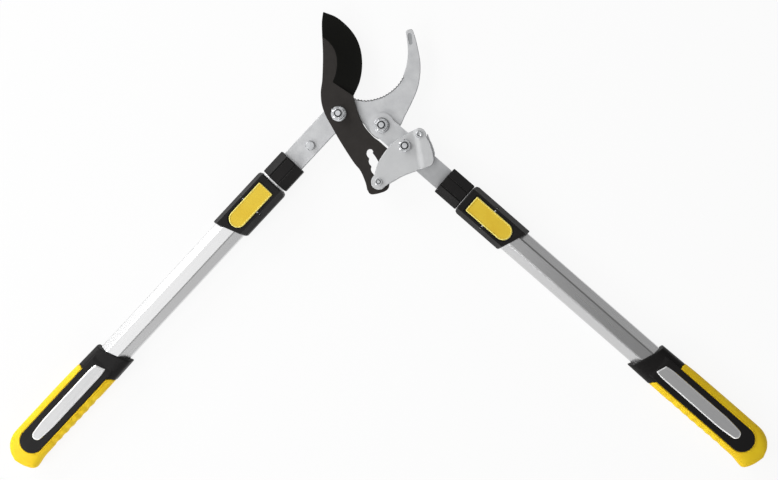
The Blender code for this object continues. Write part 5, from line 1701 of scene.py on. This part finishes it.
    def strip_plan(self, grow: float = 0.0) -> Points:
        """Draw the raised middle strip, with its half round far end.

        Args:
            grow: How far the outline is moved outwards.

        Returns:
            The outline, anticlockwise.
        """
        half, centre = self.strip_half + grow, self.strip_end - self.strip_half
        run = np.linspace(self.cover_start - self.strip_run_in, centre, 120)
        lower = np.column_stack([run, np.full(len(run), -half)])
        return np.vstack([lower[:-1], arc((centre, 0), half, -90, 90, 60), (lower * [1, -1])[::-1][1:]])

    def badge_plan(self, grow: float = 0.0) -> Points:
        """Draw the inlay: slanted at the head, wider in the middle and round at the far end.

        Args:
            grow: How far the outline is moved outwards.

        Returns:
            The outline, anticlockwise.
        """
        x = np.linspace(0, 1, 70)
        head, tail = np.clip(1 - x / 0.12, 0, 1), np.clip(5 * x - 4, 0, 1)
        half = (7.5 - 1.5 * head ** 2 - 1.9 * tail ** 1.5) * MM + grow
        run = self.badge_start - grow + (self.badge_far - self.badge_start + grow) * x
        slant = 0.36 * half * (1 - x)
        return np.vstack([np.column_stack([run - slant, -half]),
                          arc((self.badge_far, 0), half[-1], -75, 75, 24),
                          np.column_stack([run + slant, half])[::-1]])

    def strip(self) -> Skin:
        """Shape the black strip in front with the inlay's pocket, and the plain one on the back.

        Returns:
            The surface of both strips.
        """
        pocket = (self.badge_plan(CLEARANCE), self.badge_height + CLEARANCE - self.badge_proud)
        front = Plate(self.strip_plan(), self.strip_foot, self.back_plane, self.strip_rounding,
                      sunk=[pocket], steps=6)
        back = Plate(self.strip_plan(), -self.back_plane, -self.strip_foot, self.strip_rounding,
                     spacing=6 * MM, steps=6)
        return front.skin().warp(self.lowered).plus(back.skin())

    def lowered(self, points: Points) -> Points:
        """Let the strip's face rise out of the head part, softly over its first stretch.

        Args:
            points: The strip's points.

        Returns:
            The lowered points.
        """
        rise = eased(points[:, 0], self.cover_start - self.strip_run_in, self.strip_rise_run)
        points = points.copy()
        points[:, 2] -= np.where(points[:, 2] > self.strip_face, self.strip_rise * (1 - rise), 0.0)
        return points

    def badge(self) -> Skin:
        """Shape the silver inlay with its wide facet all round, painted bright as a highlight.

        Returns:
            The inlay's surface.
        """
        top = self.back_plane + self.badge_proud
        return Plate(self.badge_plan(), top - self.badge_height, top, self.badge_rounding,
                     facet=self.badge_facet, spacing=3 * MM).skin()

    def sides(self, x: Points) -> tuple[Points, Points]:
        """Give the cover's outer and inner half widths at places along the grip.

        Each is a smooth curve through places along the grip in millimetres and shares of the half width.
        The inner one also has the finger ripples.

        Args:
            x: Places along the grip.

        Returns:
            Outer and inner half widths.
        """
        outer = curve(np.array([(30, 0.94), (60, 0.985), (100, 1.0), (142, 1.0), (158, 0.998), (164, 0.98),
                                (169, 0.925), (173, 0.85), (176.5, 0.75), (180, 0.60), (183, 0.40),
                                (185.5, 0.05)]), 8)
        inner = curve(np.array([(20, 0.97), (60, 0.995), (100, 1.0), (132, 0.985), (150, 0.985), (160, 1.0),
                                (170, 1.075), (174.5, 1.085), (178, 0.98), (181, 0.76), (183.5, 0.48),
                                (185.5, 0.05)]), 8)
        far = self.cover_half * np.interp(x / MM, outer[:, 0], outer[:, 1])
        near = self.cover_inner_half * np.interp(x / MM, inner[:, 0], inner[:, 1])
        return far - self.outer_margin, near - self.inner_margin - self.wave(x) * self.ripple_depth

    def wave(self, x: Points) -> Points:
        """Give the depth of the finger ripples along the grip: (1 - cos) / 2 of the way over their pitch."""
        travel = (x - self.ripple_start) / self.ripple_pitch
        return np.where((travel > 0) & (travel < self.ripples), (1 - np.cos(2 * math.pi * travel)) / 2, 0.0)

    def rubber(self) -> Skin:
        """Shape the yellow cover round its bore, with the rim bead that frames the strip.

        Each section is a rounded one between the two sides. Its head end follows the border, and towards
        the far end its height falls as the root of one less the square of the way.

        Returns:
            The cover's surface with its beads.
        """
        u, v = superellipse(192, self.cover_power)
        first = self.cover_start + self.grip_slant / 2
        last = np.sin(np.linspace(0, math.pi / 2, 40))
        last = self.cover_dome + (self.grip_end - self.end_gap - self.cover_dome) * last
        middle = np.linspace(first + 2 * MM, self.cover_dome, 130)[:-1]
        stations = np.concatenate([np.full(6, first), middle, last])
        shrink, step = (np.pad(turn, (0, len(stations) - 6)) for turn in quarter(self.cover_rounding, 6))
        step[6:] = 0.0
        far, near = self.sides(stations)
        middle, half = ((far - near) / 2)[:, None], ((far + near) / 2 - shrink)[:, None]
        beyond = share_of(stations, self.cover_fall, self.grip_end - self.cover_fall)
        height = (self.mouth_height * (0.45 + 0.55 * np.sqrt(1 - beyond**2)) - shrink)[:, None]
        across, up = middle + half * u, height * v
        shoulder = share_of(-across, self.shoulder_start, self.shoulder_run)
        up = up - np.sign(up) * self.ripple_top * self.wave(stations)[:, None] * shoulder
        fade = np.clip(1 - (stations - first) / self.border_fade, 0, 1)[:, None]
        along = stations[:, None] + step[:, None] + fade * (self.border(across) - first)
        rows = np.stack([along, across, up], axis=2)
        start = self.on_facets(across[0], up[0], self.grip_clearance)
        mouth = np.column_stack([self.border(start[:, 0]), start])
        end = np.column_stack([np.full(len(start), self.tube_in_grip + self.bore_gap), start])
        skin = sweep(np.concatenate([end[None], mouth[None], rows]))
        path = self.strip_plan(self.bead_out)
        path = path[path[:, 0] > self.border(path[:, 1]) + self.bead_gap]
        b = np.arange(12) * 2 * math.pi / 12
        flat = path[:, None] - self.bead_radius * np.cos(b)[None, :, None] * leftward(path)[:, None]
        lift = np.broadcast_to((self.bead_height + self.bead_radius * np.sin(b))[None, :, None],
                               (len(path), 12, 1))
        bead = np.concatenate([flat, lift], axis=2)
        return skin.plus(sweep(bead)).plus(sweep(bead * [1, 1, -1]))


# Studio


@dataclass(frozen=True)
class Softbox:
    """A soft rectangular lamp: its middle, the point that it faces, its size and its power."""

    name: str
    place: tuple[float, float, float]
    aim: tuple[float, float, float]
    size: tuple[float, float]
    power: float


@dataclass
class Studio:
    """Floor, soft light and camera."""

    lens: float = 70.0
    sensor: float = 36.0
    eye: tuple[float, float, float] = (0.1494, 0.0090, 1.7742)
    tilt: tuple[float, float, float] = (-0.230, 4.554, -0.058)
    floor_half: float = 6.0
    floor_grey: float = 0.9
    floor_glow: float = 0.9
    zenith: float = 0.19
    horizon: float = 0.62
    front_share: float = 0.24
    lamps: tuple[Softbox, ...] = (
        Softbox("overhead", (-1.15, 0.1, 2.2), (-0.5, 0.0, 0.0), (1.8, 2.4), 13.5),
        Softbox("side", (-2.2, 1.9, 1.3), (-0.1, 0.0, 0.0), (1.8, 1.4), 56.0),
        Softbox("left", (-1.3, -0.75, 1.0), (-0.4, -0.25, 0.0), (0.8, 0.6), 9.0),
        Softbox("front", (-0.1, -2.7, 1.4), (0.0, 0.0, 0.0), (1.4, 0.9), 9.0),
    )

    def build(self) -> None:
        """Make the camera, the lamps, the world and the floor."""
        scene = bpy.context.scene
        scene.view_settings.view_transform = 'Standard'
        data = bpy.data.cameras.new("camera")
        data.lens = self.lens
        data.sensor_width = self.sensor
        camera = bpy.data.objects.new("camera", data)
        camera.location = self.eye
        camera.rotation_euler = [math.radians(a) for a in self.tilt]
        scene.collection.objects.link(camera)
        scene.camera = camera
        for lamp in self.lamps:
            self.hang(lamp)
        self.sky()
        self.floor()

    def hang(self, lamp: Softbox) -> None:
        """Hang one soft lamp.

        Args:
            lamp: The lamp.
        """
        data = bpy.data.lights.new(lamp.name, 'AREA')
        data.shape = 'RECTANGLE'
        data.size, data.size_y = lamp.size
        data.energy = lamp.power
        item = bpy.data.objects.new(lamp.name, data)
        item.location = lamp.place
        item.rotation_euler = (Vector(lamp.aim) - Vector(lamp.place)).to_track_quat('-Z', 'Y').to_euler()
        bpy.context.scene.collection.objects.link(item)

    def sky(self) -> None:
        """Light the world in grey that is brighter towards the horizon and towards the front."""
        world = bpy.data.worlds.new("studio")
        world.use_nodes = True
        sheet = Sheet(world.node_tree)
        parts = sheet.add("SeparateXYZ", {0: sheet.add("TexCoord").outputs["Generated"]}).outputs
        level = sheet.spread(parts["Z"], self.horizon, self.zenith, 0.1, 0.8)
        level = sheet.math('ADD', level, sheet.math('MULTIPLY', parts["Y"], -self.front_share))
        sheet.join(world.node_tree.nodes["Background"], {"Color": (1.0, 1.0, 1.0, 1.0), "Strength": level})
        bpy.context.scene.world = world

    def floor(self) -> None:
        """Lay a white floor that keeps a faint shadow and looks white to the eye and in reflections."""
        half = self.floor_half
        mesh = bpy.data.meshes.new("studio_floor")
        mesh.from_pydata([(-half, -half, 0), (half, -half, 0), (half, half, 0), (-half, half, 0)], [],
                         [(0, 1, 2, 3)])
        floor = bpy.data.objects.new("studio_floor", mesh)
        bpy.context.scene.collection.objects.link(floor)
        material = bpy.data.materials.new("studio_white")
        material.use_nodes = True
        sheet = Sheet(material.node_tree)
        material.node_tree.nodes.remove(material.node_tree.nodes["Principled BSDF"])
        path = sheet.add("LightPath")
        seen = sheet.math('MAXIMUM', path.outputs["Is Camera Ray"], path.outputs["Is Glossy Ray"])
        seen = sheet.math('MAXIMUM', seen, path.outputs["Is Transmission Ray"])
        diffuse = sheet.add("BsdfDiffuse", {"Color": (*[self.floor_grey] * 3, 1.0)}).outputs[0]
        glow = sheet.add("Emission", {"Color": (1.0, 1.0, 1.0, 1.0), "Strength": 1.0}).outputs[0]
        factor = sheet.math('MULTIPLY', seen, self.floor_glow)
        mixed = sheet.add("MixShader", {0: factor, 1: diffuse, 2: glow}).outputs[0]
        sheet.join(material.node_tree.nodes["Material Output"], {"Surface": mixed})
        mesh.materials.append(material)


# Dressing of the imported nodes


class Dresser:
    """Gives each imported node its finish. The first word that a node's name holds decides."""

    words: tuple[tuple[str, Finish], ...] = (
        ("plate_", PLATE), ("hook", PLATE), ("sleeve", BLACK), ("_rivet", ZINC), ("right_tang", PLATE),
        ("blade", COATING), ("_bush", BLACK), ("_tube", ALUMINIUM), ("collar", BLACK), ("grip_core", BLACK),
        ("lock_lever", YELLOW), ("grip_cover", RUBBER), ("grip_inlay", SILVER),
        ("spring", SPRING), ("", ZINC))

    def dress(self) -> None:
        """Put a material in the slots of every shown node."""
        for name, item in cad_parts.items():
            finish = next(finish for word, finish in self.words if word in name)
            item.data.materials.clear()
            angle = LEFT_ANGLE if name.startswith("left_") else RIGHT_ANGLE
            item.data.materials.append(finish.material(angle))


def main() -> None:
    """Build the studio and every piece in order."""
    logging.basicConfig(level=logging.INFO, format="%(name)s: %(message)s")
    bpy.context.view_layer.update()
    Studio().build()
    Dresser().dress()
    bench = Workbench()
    Head(bench).build()
    Fasteners(bench).build()
    for side in Side:
        Handle(bench, side).build()
    LOG.info("%d pieces", bench.made)


if __name__ == "__main__":
    main()
